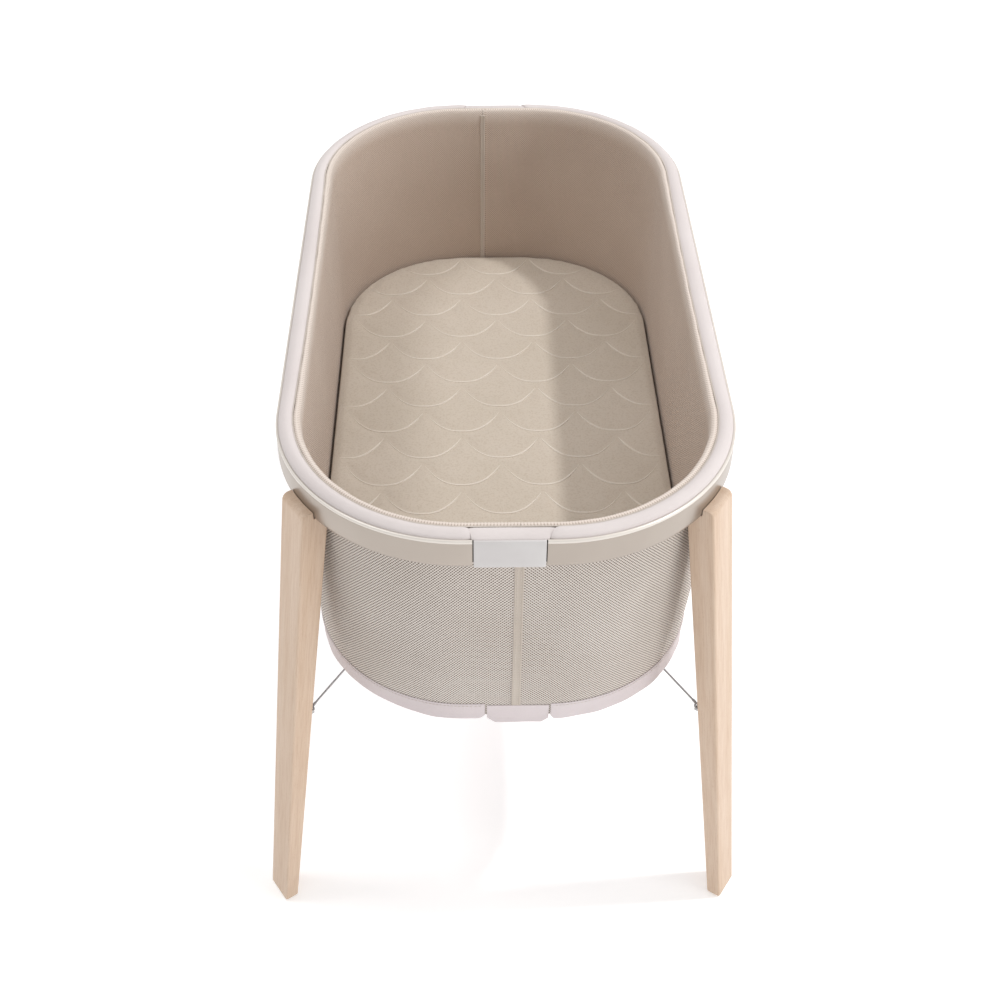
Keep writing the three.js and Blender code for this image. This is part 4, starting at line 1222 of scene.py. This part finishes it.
def add_leg(corner):
    places, faces = leg_board(corner)
    beech = beech_look(1 + list(CORNERS).index(corner))
    leg = new_object(f"leg_board_{corner}", places, faces, beech, sharp=35)
    matrix, bolt = leg_frame(corner), bolt_frame(corner)
    nut = bolt @ Matrix.Translation((0, 0, -30 * MM)) @ Matrix.Rotation(math.pi / 2, 4, "Y")
    carve(leg, [
        rod_cutter(matrix, RIM_CORNER + 0.4 * MM, RIM_BOTTOM - 0.3 * MM, RIM_TOP, 240),
        rod_cutter(bolt, 3.6 * MM, -45 * MM, 10 * MM),
        rod_cutter(nut, 5.3 * MM, -33 * MM, 11.3 * MM)])
    leg.data.shade_smooth()
    leg.data.set_sharp_from_angle(angle=math.radians(33))
    upright = Matrix.Rotation(LEG_LEAN, 4, "Y") @ matrix.inverted()
    store(leg.data, "grain", [tuple(upright @ v.co) for v in leg.data.vertices])
    label(leg, "wood", f"leg_{corner}", body=f"leg_{corner}_body")


def add_brace(look):
    """Two wires that cross under the basket, with an eye at each end."""
    reach = EYE_RADIUS + WIRE_RADIUS
    upper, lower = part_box("brace_wire_upper"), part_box("brace_wire_lower")
    level = upper[0].z + WIRE_RADIUS
    runs = {
        "upper": ((upper[0].x, upper[0].y), (upper[1].x, upper[1].y), WIRE_BOW),
        "lower": ((lower[1].x, lower[0].y), (lower[0].x, lower[1].y), -WIRE_BOW)}
    for name, (start, end, bow) in runs.items():
        pins = [Vector((x - math.copysign(reach, x), y - math.copysign(reach, y), level))
                for x, y in (start, end)]
        along = (pins[1] - pins[0]).normalized()
        shares = np.linspace(0, 1, 61)
        bowed = bow * np.exp(-((shares - 0.5) / 0.16) ** 2)
        first, last = pins[0] + along * EYE_RADIUS, pins[1] - along * EYE_RADIUS
        path = np.array([first.lerp(last, t) + Vector((0, 0, b)) for t, b in zip(shares, bowed)])
        parts = [tube(path, WIRE_RADIUS, 12)]
        turn = np.linspace(0, 2 * math.pi, 37)
        for pin in pins:
            eye = np.array([pin + Vector((math.cos(a), math.sin(a), 0)) * EYE_RADIUS for a in turn])
            parts.append(tube(eye, WIRE_RADIUS, 10))
        for pin, way in ((pins[0], 1), (pins[1], -1)):
            sleeve = np.array([pin + along * way * (EYE_RADIUS + s * MM) for s in (1.4, 1.7, 3, 5, 6.7, 7)])
            parts.append(tube(sleeve, np.array((1.3, 1.75, 1.85, 1.85, 1.75, 1.3)) * MM, 14))
        wire = joined(f"brace_cable_{name}", parts, look, 50)
        label(wire, "steel", f"brace_wire_{name}", body=FRAME_BODY)


# ---------- carried-over nodes ----------

def dress_nodes(looks):
    """Gives the CAD nodes that stay in view their finish."""
    starts = {"rim_joiner": "joiner", "joiner_rivet": "steel", "leg_bracket": "bracket", "leg_bolt": "steel",
              "barrel_nut": "steel", "foot_glide": "glide", "wire_keeper": "steel", "keeper_screw": "steel",
              "brace_cross_clip": "clip", "base_board": "board"}
    for name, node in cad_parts.items():
        for start, look in starts.items():
            if name.startswith(start):
                node.data.materials.clear()
                node.data.materials.append(looks[look])


def build():
    looks = {
        "joiner": moulded_look("joiner_plastic", (96, 92, 88), (108, 103, 98)),
        "steel": metal_look("zinc_plated_steel", (150, 150, 152), (182, 181, 180), 0.34),
        "bracket": metal_look("cast_aluminium", (132, 133, 135), (160, 160, 160), 0.5, (420, 420, 420), 0.05),
        "glide": moulded_look("nylon", (208, 204, 196), (220, 216, 208), 0.5),
        "clip": moulded_look("clip_plastic", (128, 126, 124), (142, 140, 138)),
        "board": plywood_look(),
    }
    trim = plain_cloth_look("trim_knit", (216, 207, 205), (223, 215, 213), 0.7, 0.04, 0.1)
    skirt = plain_cloth_look("skirt_cloth", (213, 202, 203), (222, 212, 213), 0.6)
    tape = plain_cloth_look("seam_tape_weave", (196, 184, 172), (208, 197, 186), 0.9, 0.08)
    thread = plain_cloth_look("thread", (206, 196, 186), (218, 209, 200), 0.3)
    outer = knit_mesh_look(
        "outer_mesh", (231, 223, 216), (224, 215, 207), (126, 112, 101), 4.2 * MM, 0.5, 0.12)
    # The lining's lip colour is a painted highlight on the lit lip at the top of the wall.
    inner = knit_mesh_look(
        "lining_mesh", (218, 201, 187), (210, 192, 178), (172, 153, 138), 3.4 * MM, 0.35, 0.2,
        lip=(230, 219, 210))
    quilt = quilt_look("quilted_knit", (212, 201, 186), (219, 208, 194))
    # Painted highlight: the quilting lines are painted paler than the quilted cloth, standing in for light on
    # the raised lines.
    painted_highlight_lines = quilt_look("quilt_lines", (234, 225, 213), (240, 232, 221))
    add_rim(champagne_look())
    add_connectors(moulded_look("connector_plastic", (206, 202, 201), (213, 210, 209), 0.52))
    add_trim(trim, thread)
    add_walls(outer, inner)
    add_seams(tape, thread)
    add_skirts(skirt, thread)
    add_floor_fabric(skirt)
    add_mattress(quilt, painted_highlight_lines, tape)
    for corner in CORNERS:
        add_leg(corner)
    add_brace(looks["steel"])
    dress_nodes(looks)


add_camera()
add_studio()
build()
